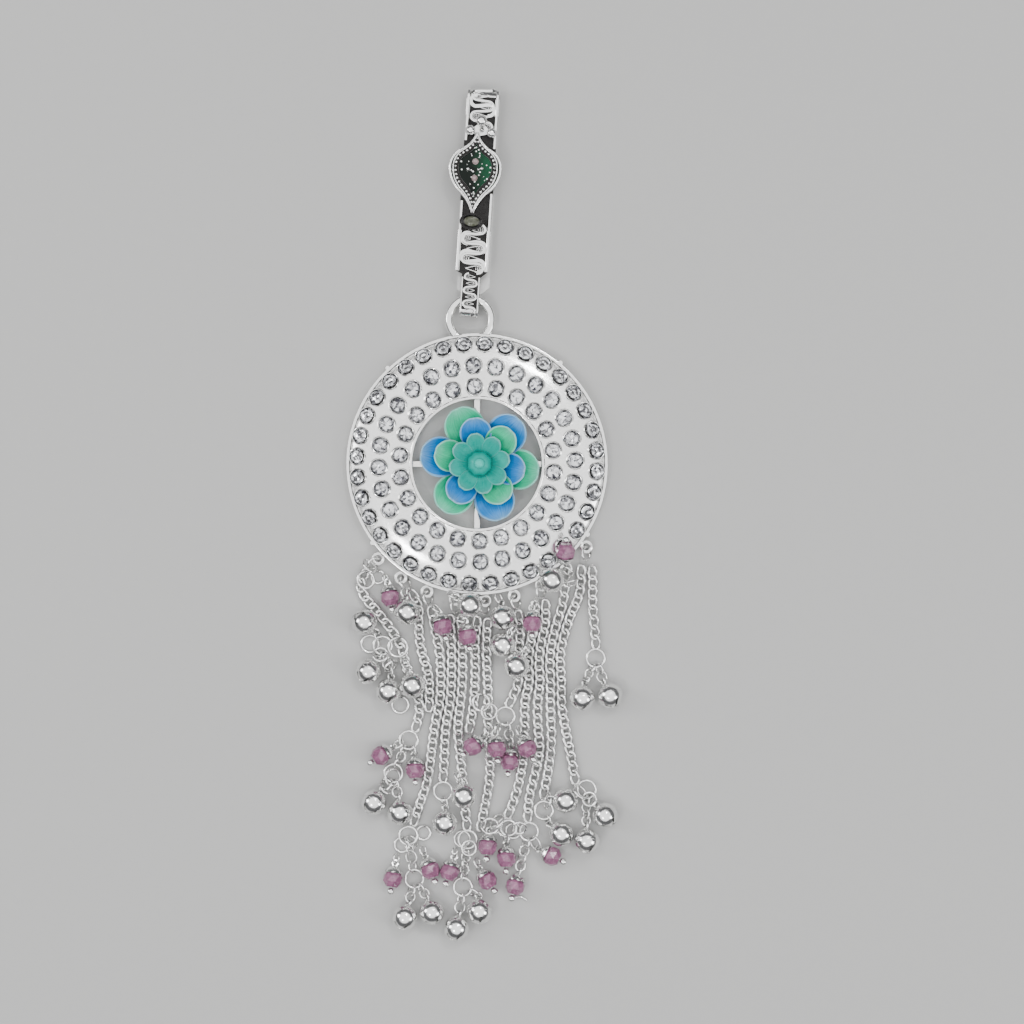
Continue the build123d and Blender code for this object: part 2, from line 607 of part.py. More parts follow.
def clip_strip():
    """Whole spring clip as one bent strip with its raised borders and scrolls."""
    body = clip_arms() + tongue()
    half = CLIP_W / 2
    top = front_top()
    plaque_low = PLAQUE_V + BEZEL_V - BEZEL_B - BEZEL_WALL
    plaque_high = PLAQUE_V + GRANULES[1][1] + GRANULES[1][2]
    bend_v = CLIP_V_TOP - bend_radius() - STRIP_T / 2
    for low_v, high_v in ((SHOULDER_V + SHOULDER_RUN, plaque_low), (plaque_high, bend_v)):
        for side in (-1, 1):
            edge = side * (half - BORDER_W / 2)
            body += box_between(
                edge - BORDER_W / 2, edge + BORDER_W / 2, low_v, high_v, top - SEAT_GAP, top + RELIEF_H
            )
    body += scroll_ridge(SHOULDER_V + SHOULDER_RUN, plaque_low)
    body += scroll_ridge(plaque_high, bend_v + SCROLL_R)
    bezel = Ellipse(BEZEL_A + BEZEL_WALL + SEAT_GAP, BEZEL_B + BEZEL_WALL + SEAT_GAP)
    body -= Pos(PLAQUE_U, PLAQUE_V + BEZEL_V, top) * extrude(bezel, 2 * RELIEF_H)
    return clip_frame() * body


def ogee_quarter(half_w, half_h):
    """Side and tip of a pointed oval: a round side that turns into a hollow run to the tip."""
    turn_u = 0.58 * half_w
    turn_v = 0.505 * half_h
    back = (half_w**2 - turn_u**2 - turn_v**2) / (2 * (turn_u - half_w))
    arc_r = half_w + back
    half_turn = atan2(turn_v, turn_u + back) / 2
    middle = (arc_r * cos(half_turn) - back, arc_r * sin(half_turn))
    side = ThreePointArc((half_w, 0), middle, (turn_u, turn_v))
    tip = TangentArc((turn_u, turn_v), (0, half_h), tangent=side % 1)
    return side + tip


def ogee_face(half_w, half_h):
    """Pointed oval face about its widest line, which is nearer its upper point."""
    upper = ogee_quarter(half_w, half_h * (1 - PLAQUE_LEAN))
    lower = ogee_quarter(half_w, half_h * (1 + PLAQUE_LEAN))
    right = upper + mirror(lower, Plane.XZ)
    return make_face(right + mirror(right, Plane.YZ))


def plaque_frame():
    return clip_frame() * Pos(PLAQUE_U, PLAQUE_V, front_top() + SEAT_GAP)


def clip_plaque():
    """Cast plaque with its step, recess, beaded rim, granule balls and oval bezel."""
    body = extrude(ogee_face(PLAQUE_HALF_W + PLAQUE_BAND, PLAQUE_HALF_H + PLAQUE_BAND / 2), PLAQUE_BAND_H)
    body += extrude(ogee_face(PLAQUE_HALF_W, PLAQUE_HALF_H), PLAQUE_BODY_H)
    recess = ogee_face(PLAQUE_HALF_W - RECESS_IN, PLAQUE_HALF_H - 2 * RECESS_IN)
    body -= Pos(0, 0, PLAQUE_BODY_H - RECESS_DEPTH) * extrude(recess, 2 * RECESS_DEPTH)
    balls = []
    row_h = PLAQUE_HALF_H - 2 * BEAD_ROW_IN
    for up in (1, -1):
        line = ogee_quarter(PLAQUE_HALF_W - BEAD_ROW_IN, row_h * (1 - up * PLAQUE_LEAN))
        steps = int(line.length / BEAD_ROW_STEP)
        for index in range(steps + 1):
            point = line @ (index / steps)
            for side in (1, -1):
                on_axis = (index == 0 and up < 0) or (index == steps and side < 0)
                if not on_axis:
                    place = Pos(side * point.X, up * point.Y, PLAQUE_BODY_H)
                    balls.append(place * Sphere(BEAD_ROW_R))
    for u, v, radius in GRANULES:
        balls.append(Pos(u, v, PEDESTAL_H + GRANULE_LIFT * radius) * Sphere(radius))
        balls.append(disc(radius * 0.8, 0, PEDESTAL_H + GRANULE_LIFT * radius, u, v))
    corners = [(u, v) for u, v, _ in (GRANULES[0], GRANULES[1], GRANULES[3])]
    tab = make_face(Polyline(*corners, (0, TAB_FOOT_V), close=True))
    balls.append(extrude(tab, PEDESTAL_H))
    bezel = extrude(Ellipse(BEZEL_A + BEZEL_WALL, BEZEL_B + BEZEL_WALL), BEZEL_H)
    bezel -= Pos(0, 0, BEZEL_H / 2) * extrude(Ellipse(BEZEL_A, BEZEL_B), BEZEL_H)
    balls.append(Pos(0, BEZEL_V, 0) * bezel)
    return plaque_frame() * body.fuse(*balls)


def plaque_enamel():
    """Enamel that fills the plaque's recess, a little below the rim."""
    inset = RECESS_IN + ENAMEL_PLAY
    face = ogee_face(PLAQUE_HALF_W - inset, PLAQUE_HALF_H - 2 * RECESS_IN - 2 * ENAMEL_PLAY)
    bottom = PLAQUE_BODY_H - RECESS_DEPTH + SEAT_GAP
    return plaque_frame() * Pos(0, 0, bottom) * extrude(face, ENAMEL_T)


def plaque_stones():
    """Small cut stones on the middle of the enamel."""
    bottom = PLAQUE_BODY_H - RECESS_DEPTH + ENAMEL_T + 2 * SEAT_GAP
    stone = crystal(MOTIF_STONE_R, STONE_CROWN / 2, STONE_GIRDLE / 2, STONE_SIDES)
    places = [plaque_frame() * Pos(0, v, bottom) for v in MOTIF_STONE_VS]
    return Compound(children=[place * stone for place in places])


def cabochon_stone():
    """Oval domed stone in the bezel below the plaque."""
    play = POCKET_PLAY / 2
    foot = Ellipse(BEZEL_A - play, BEZEL_B - play)
    top = Ellipse(BEZEL_A / 2, BEZEL_B / 2)
    belt = extrude(foot, CABOCHON_H / 2)
    dome = loft([Pos(0, 0, CABOCHON_H / 2) * foot, Pos(0, 0, CABOCHON_H) * top], ruled=True)
    return plaque_frame() * Pos(0, BEZEL_V, BEZEL_H / 2 + SEAT_GAP) * (belt + dome)


def corner_radii(points):
    """Fillet radius of each corner of a route, from its shorter run and its turn."""
    radii = []
    for before, here, after in zip(points, points[1:], points[2:]):
        first = Vector(*here) - Vector(*before)
        second = Vector(*after) - Vector(*here)
        turn = radians(first.get_angle(second))
        radii.append(FILLET_SHARE * min(first.length, second.length) / tan(turn / 2))
    return radii


def chain_strand(name):
    """Tube of the chain's width along its route, which lies on the resting plane."""
    points = [(x, y - PLATE_R, CHAIN_Z) for x, y in STRANDS[name]]
    radii = corner_radii(points)
    path = FilletPolyline(*points, radius=radii)
    section = Plane(origin=path @ 0, z_dir=path % 0) * Circle(CHAIN_R)
    tube = sweep(section, path=path)
    share = tube.volume / (pi * CHAIN_R**2 * path.length)
    print(name, "volume share", round(share, 4), "smallest radius", round(min(radii), 1))
    return tube


def eyelet_rings():
    """One jump ring through each eyelet, leaning so that it clears the resting plane."""
    rings = []
    for index, heading in enumerate(JUMP_HEADINGS):
        x, y = eyelet_point(index)
        far_x, far_y = polar(2 * JUMP_R, heading, x, y)
        rings.append(
            ring_between((x, y, EYELET_Z), (far_x, far_y, EYELET_Z), JUMP_ROLL, JUMP_WIRE_R)
        )
    return Compound(children=rings)


def gather_rings(places):
    """Flat-lying rings that gather several drops."""
    return [Pos(x, y - PLATE_R, GATHER_Z) * Torus(GATHER_R, GATHER_WIRE_R) for x, y in places]


def drop_axis(x, y, heading, z, loop_z, reach):
    """Loop point of a drop, from its table row, and its unit axis from the loop to the mouth or ball."""
    rise = (z - loop_z) / reach
    level = sqrt(1 - rise**2)
    away_x, away_y = polar(level, heading)
    axis = Vector(away_x, away_y, rise)
    return Vector(x, y - PLATE_R, z) - axis * reach, axis


def link_roll(index, count, last_roll):
    """Roll of one ring of a run, each ring square to the next."""
    return last_roll - 90.0 * ((count - 1 - index) % 2)


def ring_run(near, far, count, last_roll):
    """Linked rings from one wire point to the other."""
    near = Vector(*near)
    far = Vector(*far)
    span = (far - near).length
    radius = (span + (count - 1) * RING_LAP) / (2 * max(count, 1))
    along = (far - near).normalized()
    rings = []
    for index in range(count):
        start = near + along * index * (2 * radius - RING_LAP)
        end = start + along * 2 * radius
        rings.append(ring_between(start, end, link_roll(index, count, last_roll), RING_WIRE_R))
    return rings


def drop_links(rows, reach):
    """Rings that hang each drop of a table from its hold point."""
    rings = []
    for x, y, heading, z, loop_z, count, hold_x, hold_y, hold_z, (stop, last_roll) in rows:
        loop, _ = drop_axis(x, y, heading, z, loop_z, reach)
        hold = Vector(hold_x, hold_y - PLATE_R, hold_z)
        end = hold + (loop - hold).normalized() * stop
        rings += ring_run(loop, end, count, last_roll)
    return rings


def bell():
    """Hollow round bell with a cross-slotted mouth on +Z and its loop on -Z."""
    body = Sphere(BELL_R) - Sphere(BELL_R - BELL_WALL)
    for angle in (0, 90):
        slot = Box(BELL_SLOT_REACH, BELL_SLOT, BELL_SLOT_DEPTH)
        body -= Rot(0, 0, angle) * Pos(0, 0, BELL_R - BELL_SLOT_DEPTH / 2 + BELL_WALL / 2) * slot
    loop = Pos(0, 0, -BELL_LOOP_AT) * Rot(90, 0, 0) * Torus(BELL_LOOP_R, BELL_LOOP_WIRE_R)
    return body + (loop - Sphere(BELL_R - BELL_WALL / 2))


def cut_bead():
    """Faceted glass bead drilled along its axis."""
    belt = RegularPolygon(BEAD_R, BEAD_SIDES)
    end = RegularPolygon(BEAD_END_R, BEAD_SIDES)
    body = loft([Pos(0, 0, -BEAD_HALF) * end, Pos(0, 0, -BEAD_BELT) * belt], ruled=True)
    body += Pos(0, 0, -BEAD_BELT) * extrude(belt, 2 * BEAD_BELT)
    body += loft([Pos(0, 0, BEAD_BELT) * belt, Pos(0, 0, BEAD_HALF) * end], ruled=True)
    return body - Cylinder(BEAD_HOLE_R, 3 * BEAD_HALF)


def bead_pin():
    """Headpin with its end ball on +Z, and the dome cap with its loop on -Z."""
    gap = CAP_GAP
    outline = Polyline(
        (0, -BEAD_HALF - gap),
        (BEAD_END_R, -BEAD_HALF - gap),
        (CAP_R - 2 * gap, -CAP_LIP_AT),
        (CAP_R, -CAP_LIP_AT),
        (0.95 * CAP_R, -BEAD_HALF),
        (0.65 * CAP_R, -CAP_TOP_AT + 2 * gap),
        (0.35 * CAP_R, -CAP_TOP_AT),
        (0, -CAP_TOP_AT),
        close=True,
    )
    cap = revolve(Plane.XZ * make_face(outline), Axis.Z)
    length = PIN_BALL_AT + CAP_TOP_AT
    pin = Pos(0, 0, (PIN_BALL_AT - CAP_TOP_AT) / 2) * Cylinder(PIN_R, length)
    ball = Pos(0, 0, PIN_BALL_AT) * Sphere(PIN_BALL_R)
    loop = Pos(0, 0, -PIN_LOOP_AT) * Rot(90, 0, 0) * Torus(PIN_LOOP_R, PIN_LOOP_WIRE_R)
    return cap + pin + ball + loop


def hang_drop(piece, row, reach):
    """Place a drop by its table row, its loop turned to face its first ring's wire."""
    x, y, heading, z, loop_z, count, hold_x, hold_y, hold_z, (_, last_roll) = row
    loop, axis = drop_axis(x, y, heading, z, loop_z, reach)
    along = (Vector(hold_x, hold_y - PLATE_R, hold_z) - loop).normalized()
    side = Vector(0, 0, 1).cross(along).normalized()
    up = along.cross(side)
    turn = radians(link_roll(0, count, last_roll))
    wire = side * cos(turn) - up * sin(turn)
    through = axis.cross(wire).normalized()
    return aimed((x, y - PLATE_R, z), axis, through) * piece


def drops(piece, rows, reach):
    """A node's drops, each one loose solid."""
    return Compound(children=[hang_drop(piece, row, reach) for row in rows])


def drop_ring_nodes():
    """Gather rings and linking rings, sorted into a node for each part of the fringe."""
    nodes = {name: gather_rings(places) for name, places in GATHER_RINGS.items()}
    nodes["drop_rings_left"] += drop_links(BELLS["bells_left"], BELL_LOOP_AT)
    nodes["drop_rings_middle"] += drop_links(BELLS["bells_middle"], BELL_LOOP_AT)
    nodes["drop_rings_right"] += drop_links(BELLS["bells_right"], BELL_LOOP_AT)
    for part in ("lower_left", "lower_middle", "lower_right"):
        nodes["drop_rings_" + part] += drop_links(BELLS["bells_" + part], BELL_LOOP_AT)
        nodes["drop_rings_" + part] += drop_links(BEADS[part], PIN_LOOP_AT)
    nodes["drop_rings_middle"] += drop_links(BEADS["upper"] + BEADS["middle"], PIN_LOOP_AT)
    stop, last_roll = GATHER_HOOK
    for x0, y0, x1, y1, count, part in LINK_RUNS:
        first = Vector(x0, y0 - PLATE_R, RUN_Z)
        last = Vector(x1, y1 - PLATE_R, RUN_Z)
        inward = (last - first).normalized() * stop
        nodes[part] += ring_run(first + inward, last - inward, count, last_roll)
    return {name: Compound(children=rings) for name, rings in nodes.items()}


def build_parts():
    """Every node by name."""
    parts = {
        "clip_strip": clip_strip(),
        "clip_plaque": clip_plaque(),
        "plaque_enamel": plaque_enamel(),
        "plaque_stones": plaque_stones(),
        "cabochon_stone": cabochon_stone(),
        "medallion_frame": medallion_frame(),
        "hanging_ring": hanging_ring(),
        "flower_centre": flower_centre(),
        "eyelet_rings": eyelet_rings(),
    }
    for name, share, space, first in STONE_ROWS:
        parts[name] = crystal_row(share, space, first)
    for name, *sizes in FLOWER_LAYERS:
        parts[name] = flower_layer(*sizes)
    for name in STRANDS:
        parts[name] = chain_strand(name)
    for name, rows in BELLS.items():
        parts[name] = drops(bell(), rows, BELL_LOOP_AT)
    for name, rows in BEADS.items():
        parts["beads_" + name] = drops(cut_bead(), rows, PIN_LOOP_AT)
        parts["bead_pins_" + name] = drops(bead_pin(), rows, PIN_LOOP_AT)
    parts.update(drop_ring_nodes())
    return parts


def main():
    os.makedirs("parts", exist_ok=True)
    for name, shape in build_parts().items():
        shape.label = name
        export_step(shape, "parts/" + name + ".step")


if __name__ == "__main__":
    main()
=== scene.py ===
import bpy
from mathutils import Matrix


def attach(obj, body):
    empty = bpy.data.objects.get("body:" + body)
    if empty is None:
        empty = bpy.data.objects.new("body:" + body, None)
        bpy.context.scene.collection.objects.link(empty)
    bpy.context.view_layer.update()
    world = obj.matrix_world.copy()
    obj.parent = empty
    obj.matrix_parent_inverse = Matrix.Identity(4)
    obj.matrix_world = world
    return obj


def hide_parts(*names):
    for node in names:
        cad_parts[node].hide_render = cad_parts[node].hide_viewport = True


bl_info = {
    "name": "Hair bun brooch",
    "version": (1, 0, 0),
    "blender": (4, 5, 0),
    "location": "3D View > Sidebar > Brooch",
    "description": "Dresses the brooch's frame: stones, flower, chains, bells, beads and finishes",
    "category": "Add Mesh",
}

from math import asin, atan2, cos, hypot, pi, radians, sin, sqrt

import bmesh
import bpy
from mathutils import Matrix, Vector

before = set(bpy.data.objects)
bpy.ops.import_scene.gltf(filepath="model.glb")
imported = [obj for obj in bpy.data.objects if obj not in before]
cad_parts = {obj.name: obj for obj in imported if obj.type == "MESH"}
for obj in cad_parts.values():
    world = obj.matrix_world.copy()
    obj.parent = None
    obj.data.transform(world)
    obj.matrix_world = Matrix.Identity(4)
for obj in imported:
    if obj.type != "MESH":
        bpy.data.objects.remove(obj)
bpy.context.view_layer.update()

# Pieces are modelled in millimetres and brought to metres when they are finished.
MM = 0.001
ROOT = "medallion"
CLIP = "clip"

# Rows of stones: node, count, radius and angle of the first stone
STONE_ROWS = (
    ("crystals_outer_row", 36, 27.45, 86.4),
    ("crystals_middle_row", 28, 22.5, 92.0),
    ("crystals_inner_row", 22, 17.6, 91.9),
)

# Dome, pockets, eyelets and the headings of their jump rings
DOME_TOP = 4.4
DOME_APEX_R = 20.5
DOME_ARC_R = 19.58
POCKET_DEPTH = 0.5
SEAT_GAP = 0.05
EYELET_PITCH_R = 31.4
EYELET_FIRST = -136.3
EYELET_STEP = 12.39
EYELET_Z = 1.6
JUMP_HEADINGS = (-135.0, -50.0, -80.0, -90.0, -90.0, -75.0, -95.0, -93.0, -90.0)

# Flower: its middle and the angles of its petals
FLOWER_X = 0.6
OUTER_ANGLES = (112.0, 48.0, -8.0, -68.0, -130.0, 170.0)
MIDDLE_ANGLES = (97.0, 46.0, -10.0, -55.0, -126.0, 165.0)
CUP_ANGLES = (10.0, 55.0, 100.0, 145.0, 190.0, 235.0, 280.0, 325.0)

# Clip: turn in plan, hinge and the front arm's face
CLIP_TILT = 3.76
CLIP_X = -1.6
CLIP_Y = 37.441
CLIP_TOP = 4.8

# Steps of the small turned forms, three to a flute
TURNED_STEPS = 24

# Medallion plate
PLATE_R = 30.0
HOLE_R = 14.75
SHELL = 1.4
RIM_W = 0.8
RIM_H = 2.8
GROOVE_W = 0.5
GROOVE_H = 2.1
INNER_RIM_W = 0.8
INNER_RIM_H = 4.0
NUB_R = 0.7
NUB_ANGLES = (133.0, 50.5, -143.0, -32.5)
POCKET_R = 1.85
COLLAR_W = 0.3
HUB_R = 5.0
HUB_H = 2.3
SPOKE_W = 1.4
SPOKE_Z = 0.6
SPOKE_T = 1.3
HANG_R = 4.85
HANG_WIRE_R = 1.0
HANG_X = -1.6
HANG_Y = 33.06
HANG_Z = 2.581
EYELET_R = 1.15
EYELET_WIRE_R = 0.4
JUMP_R = 1.5
JUMP_WIRE_R = 0.3
JUMP_ROLL = 50.0

# Tongue's curl round the hanging ring and the bend between the arms, in the clip's frame
CURL_V = -1.85
CURL_R = 1.944
BEND_V = 45.9
BEND_R = 2.125
STRIP_T = 0.55

# Plaque's widest line in the clip's frame, and its steps above the clip
PLAQUE_U = -0.75
PLAQUE_V = 30.0
PLAQUE_LEAN = 0.14
PLAQUE_BAND_TOP = 5.65
PLAQUE_TOP = 6.55
BEZEL_TOP = 6.35
ENAMEL_TOP = 6.45

# Bells, beads and the wire of the linking rings
BELL_R = 3.0
BELL_SLOT = 0.5
BELL_LOOP_R = 0.75
BELL_LOOP_WIRE_R = 0.28
BELL_LOOP_AT = 3.6
BEAD_R = 2.2
BEAD_END_R = 1.25
BEAD_HALF = 1.9
BEAD_BELT = 0.75
PIN_R = 0.28
PIN_BALL_R = 0.85
PIN_BALL_AT = 2.85
PIN_LOOP_R = 0.7
PIN_LOOP_WIRE_R = 0.25
PIN_LOOP_AT = 3.6
LINK_WIRE_R = 0.25
GATHER_R = 2.1
GATHER_WIRE_R = 0.3

# Chain routes in plan, from the jump ring to the free end
STRANDS = {
    "chain_01": ((-25.5, -24.6), (-27.1, -27.2), (-26.0, -30.5), (-23.0, -33.7), (-19.8, -37.8),
                 (-17.2, -42.0), (-16.6, -45.6), (-14.9, -49.8), (-13.3, -53.7), (-13.2, -58.0),
                 (-14.3, -61.0)),
    "chain_02": ((-15.1, -29.3), (-13.3, -32.3), (-13.4, -36.0), (-13.3, -39.4), (-12.8, -43.1),
                 (-11.5, -46.6), (-10.8, -51.1), (-11.1, -56.3)),
    "chain_03": ((-10.6, -33.1), (-9.9, -36.9), (-8.9, -41.0), (-8.4, -45.2), (-8.3, -49.5),
                 (-8.5, -54.8), (-9.6, -59.0), (-10.3, -64.3), (-10.8, -68.9), (-11.5, -73.4),
                 (-13.1, -77.8), (-14.7, -82.6)),
    "chain_04": ((-6.2, -35.1), (-6.1, -38.3), (-5.8, -42.4), (-5.9, -50.0), (-6.2, -55.3),
                 (-7.1, -59.4), (-7.4, -64.3), (-7.6, -68.9), (-7.8, -72.5)),
    "chain_05": ((-3.8, -35.1), (-3.3, -38.7), (-3.4, -42.9), (-3.3, -49.3), (-3.8, -54.8),
                 (-4.5, -59.9), (-4.0, -65.4), (-3.4, -71.1), (-2.8, -78.0), (-2.3, -83.6)),
    "chain_06": ((0.1, -35.5), (-0.6, -40.1), (-0.4, -44.7), (-0.5, -51.6), (-1.0, -56.7),
                 (-1.8, -61.3)),
    "chain_07": ((2.4, -35.9), (2.1, -40.1), (2.3, -47.0), (2.6, -53.9), (2.5, -59.7),
                 (3.0, -66.6), (2.9, -73.0), (1.8, -78.3), (0.7, -83.8)),
    "chain_08": ((9.4, -34.0), (10.0, -37.6), (9.7, -41.3), (9.1, -45.4), (9.7, -49.5),
                 (8.4, -53.0), (7.2, -55.3)),
    "chain_09": ((13.2, -31.8), (13.5, -35.5), (12.2, -41.3), (11.6, -45.6), (12.1, -50.0),
                 (10.8, -54.6), (11.0, -60.8), (10.6, -67.7), (9.7, -73.0), (8.3, -77.8),
                 (6.9, -80.8)),
    "chain_10": ((15.7, -31.6), (15.9, -36.0), (14.6, -41.3), (14.1, -45.6), (14.5, -50.0),
                 (13.8, -54.8), (14.0, -60.8), (14.5, -65.9), (13.0, -72.3), (11.7, -77.4),
                 (11.6, -81.7)),
    "chain_11": ((20.2, -27.7), (19.9, -31.6), (18.4, -36.0), (17.0, -41.3), (16.6, -45.6),
                 (16.9, -50.2), (16.8, -56.7), (17.2, -63.1), (16.6, -69.5), (15.1, -76.4)),
    "chain_12": ((23.9, -23.7), (23.9, -27.9), (23.0, -31.4), (21.1, -35.5), (19.4, -41.3),
                 (19.0, -45.6), (19.4, -50.2), (19.3, -54.8), (20.2, -60.3), (21.6, -67.0),
                 (22.6, -73.0)),
    "chain_13": ((26.4, -23.7), (26.6, -27.3), (26.4, -31.4), (26.9, -36.5), (27.3, -42.0)),
}

# Heights in the fringe, and hooks: how far short of its point a run stops, its last ring's roll
GATHER_Z = 1.3
FLOOR_BELL = 3.05
HIGH_BELL = 5.5
FLOOR_BEAD = 2.4
HIGH_BEAD = 4.75
LOW_LOOP = 1.7
HIGH_LOOP = 4.0
HOOK_Z = 1.2
RUN_Z = 1.5
RING_LAP = 0.8
GATHER_HOOK = (1.4, 58.0)
WIDE_HOOK = (1.4, 48.0)
OPEN_HOOK = (0.0, 30.0)

# Gather rings of each part: x and y
GATHER_RINGS = {
    "drop_rings_left": ((-21.7, -41.6),),
    "drop_rings_middle": ((6.5, -57.8),),
    "drop_rings_lower_left": ((-15.7, -63.3), (-19.2, -70.9), (-15.8, -85.2), (-14.4, -95.1)),
    "drop_rings_lower_middle": ((-7.8, -75.0), (-2.2, -86.1), (-3.3, -97.0)),
    "drop_rings_lower_right": ((6.7, -83.3), (11.9, -84.3), (15.3, -79.4), (25.1, -74.6)),
    "drop_rings_right": ((27.2, -44.5),),
}
# Drops: x, y of the middle, heading, height of the middle and of the loop, linking rings,
# then x, y, z of the point that they run to and the hook there
BELLS = {
    "bells_left": (
        (-25.8, -36.2, 140.0, FLOOR_BELL, LOW_LOOP, 1, -21.7, -41.6, HOOK_Z, GATHER_HOOK),
        (-24.9, -47.5, -126.0, FLOOR_BELL, LOW_LOOP, 1, -21.7, -41.6, HOOK_Z, GATHER_HOOK),
        (-20.3, -52.0, -100.0, FLOOR_BELL, LOW_LOOP, 3, -21.7, -41.6, HOOK_Z, GATHER_HOOK),
        (-14.7, -50.5, -70.0, HIGH_BELL, 4.4, 0, -16.6, -44.6, 3.7, OPEN_HOOK),
        (-15.9, -33.9, -80.0, 4.7, 3.2, 0, -16.9, -28.2, 3.4, OPEN_HOOK),
    ),
    "bells_middle": (
        (-1.6, -32.2, -30.0, 5.2, 4.6, 0, -6.6, -29.2, 3.8, OPEN_HOOK),
        (5.8, -35.1, -85.0, 3.4, LOW_LOOP, 0, 4.4, -29.6, LOW_LOOP, OPEN_HOOK),
        (5.9, -41.4, -120.0, FLOOR_BELL, 4.6, 0, 8.9, -37.2, 3.6, OPEN_HOOK),
        (9.0, -46.1, -120.0, HIGH_BELL, 4.4, 0, 12.0, -41.4, 3.6, OPEN_HOOK),
        (17.1, -26.5, 165.0, 5.6, 4.4, 0, 22.6, -27.3, 3.4, OPEN_HOOK),
    ),
    "bells_right": (
        (24.1, -53.5, -100.0, FLOOR_BELL, LOW_LOOP, 3, 27.2, -44.5, HOOK_Z, GATHER_HOOK),
        (30.4, -53.0, -65.0, FLOOR_BELL, LOW_LOOP, 2, 27.2, -44.5, HOOK_Z, GATHER_HOOK),
    ),
    "bells_lower_left": (
        (-23.6, -77.4, -124.0, FLOOR_BELL, LOW_LOOP, 1, -19.2, -70.9, HOOK_Z, WIDE_HOOK),
        (-17.6, -79.7, -82.0, FLOOR_BELL, LOW_LOOP, 2, -19.2, -70.9, HOOK_Z, GATHER_HOOK),
        (-16.5, -103.7, -106.0, FLOOR_BELL, LOW_LOOP, 2, -14.4, -95.1, HOOK_Z, GATHER_HOOK),
        (-10.3, -102.5, -70.0, FLOOR_BELL, LOW_LOOP, 2, -14.4, -95.1, HOOK_Z, GATHER_HOOK),
    ),
    "bells_lower_middle": (
        (-7.4, -82.1, -92.0, FLOOR_BELL, LOW_LOOP, 1, -7.8, -75.0, HOOK_Z, GATHER_HOOK),
        (-3.0, -75.7, -75.0, HIGH_BELL, 4.6, 0, -4.8, -70.2, 3.8, OPEN_HOOK),
        (-4.7, -106.2, -100.0, FLOOR_BELL, LOW_LOOP, 2, -3.3, -97.0, HOOK_Z, GATHER_HOOK),
        (0.5, -102.3, -88.0, FLOOR_BELL, LOW_LOOP, 1, -3.3, -97.0, HOOK_Z, GATHER_HOOK),
    ),
    "bells_lower_right": (
        (20.3, -77.0, -12.0, FLOOR_BELL, 4.0, 0, 15.4, -78.1, HOOK_Z, OPEN_HOOK),
        (19.3, -84.6, -38.0, FLOOR_BELL, LOW_LOOP, 1, 15.3, -79.4, HOOK_Z, GATHER_HOOK),
        (29.3, -80.4, -49.0, FLOOR_BELL, LOW_LOOP, 1, 25.1, -74.6, HOOK_Z, GATHER_HOOK),
        (25.1, -86.2, -88.0, FLOOR_BELL, LOW_LOOP, 4, 25.1, -74.6, HOOK_Z, GATHER_HOOK),
    ),
}
BEADS = {
    "upper": (
        (-19.9, -30.6, -80.0, FLOOR_BEAD, LOW_LOOP, 0, -21.5, -25.3, LOW_LOOP, OPEN_HOOK),
        (-7.8, -37.1, -75.0, HIGH_BEAD, HIGH_LOOP, 0, -10.1, -32.2, 3.4, OPEN_HOOK),
        (-2.1, -39.4, -80.0, HIGH_BEAD, HIGH_LOOP, 0, -4.7, -34.9, 3.4, OPEN_HOOK),
        (12.6, -36.4, -90.0, HIGH_BEAD, HIGH_LOOP, 0, 13.7, -30.9, 3.4, OPEN_HOOK),
        (20.2, -20.1, 88.0, 5.95, 4.95, 0, 21.5, -25.6, 3.8, OPEN_HOOK),
    ),
    "middle": (
        (-1.0, -64.5, -140.0, HIGH_BEAD, HIGH_LOOP, 0, 2.9, -60.7, 3.5, OPEN_HOOK),
        (4.5, -65.0, -85.0, HIGH_BEAD, HIGH_LOOP, 0, 5.2, -59.4, 3.3, OPEN_HOOK),
        (7.4, -68.2, -97.0, FLOOR_BEAD, LOW_LOOP, 3, 6.5, -57.8, HOOK_Z, GATHER_HOOK),
        (11.5, -65.0, -60.0, HIGH_BEAD, HIGH_LOOP, 0, 9.4, -59.9, 3.5, OPEN_HOOK),
    ),
    "lower_left": (
        (-22.1, -66.8, -147.0, FLOOR_BEAD, LOW_LOOP, 1, -15.9, -62.6, HOOK_Z, GATHER_HOOK),
        (-14.2, -70.1, -88.0, FLOOR_BEAD, LOW_LOOP, 1, -15.7, -63.3, HOOK_Z, GATHER_HOOK),
        (-19.3, -95.0, -100.0, FLOOR_BEAD, LOW_LOOP, 0, -18.4, -89.2, LOW_LOOP, OPEN_HOOK),
        (-10.7, -93.0, -68.0, FLOOR_BEAD, LOW_LOOP, 0, -12.8, -87.5, LOW_LOOP, OPEN_HOOK),
    ),
    "lower_middle": (
        (-6.3, -93.4, -108.0, FLOOR_BEAD, LOW_LOOP, 0, -5.1, -87.9, LOW_LOOP, OPEN_HOOK),
        (2.4, -95.4, -56.0, FLOOR_BEAD, LOW_LOOP, 0, -0.4, -90.4, LOW_LOOP, OPEN_HOOK),
    ),
    "lower_right": (
        (2.4, -87.6, -95.0, FLOOR_BEAD, LOW_LOOP, 1, 6.7, -83.3, HOOK_Z, GATHER_HOOK),
        (6.7, -90.4, -91.0, FLOOR_BEAD, LOW_LOOP, 1, 6.7, -83.3, HOOK_Z, GATHER_HOOK),
        (8.7, -96.7, -105.0, FLOOR_BEAD, LOW_LOOP, 4, 11.9, -84.3, HOOK_Z, GATHER_HOOK),
        (17.2, -89.8, -26.0, FLOOR_BEAD, LOW_LOOP, 1, 11.9, -84.3, HOOK_Z, WIDE_HOOK),
    ),
}
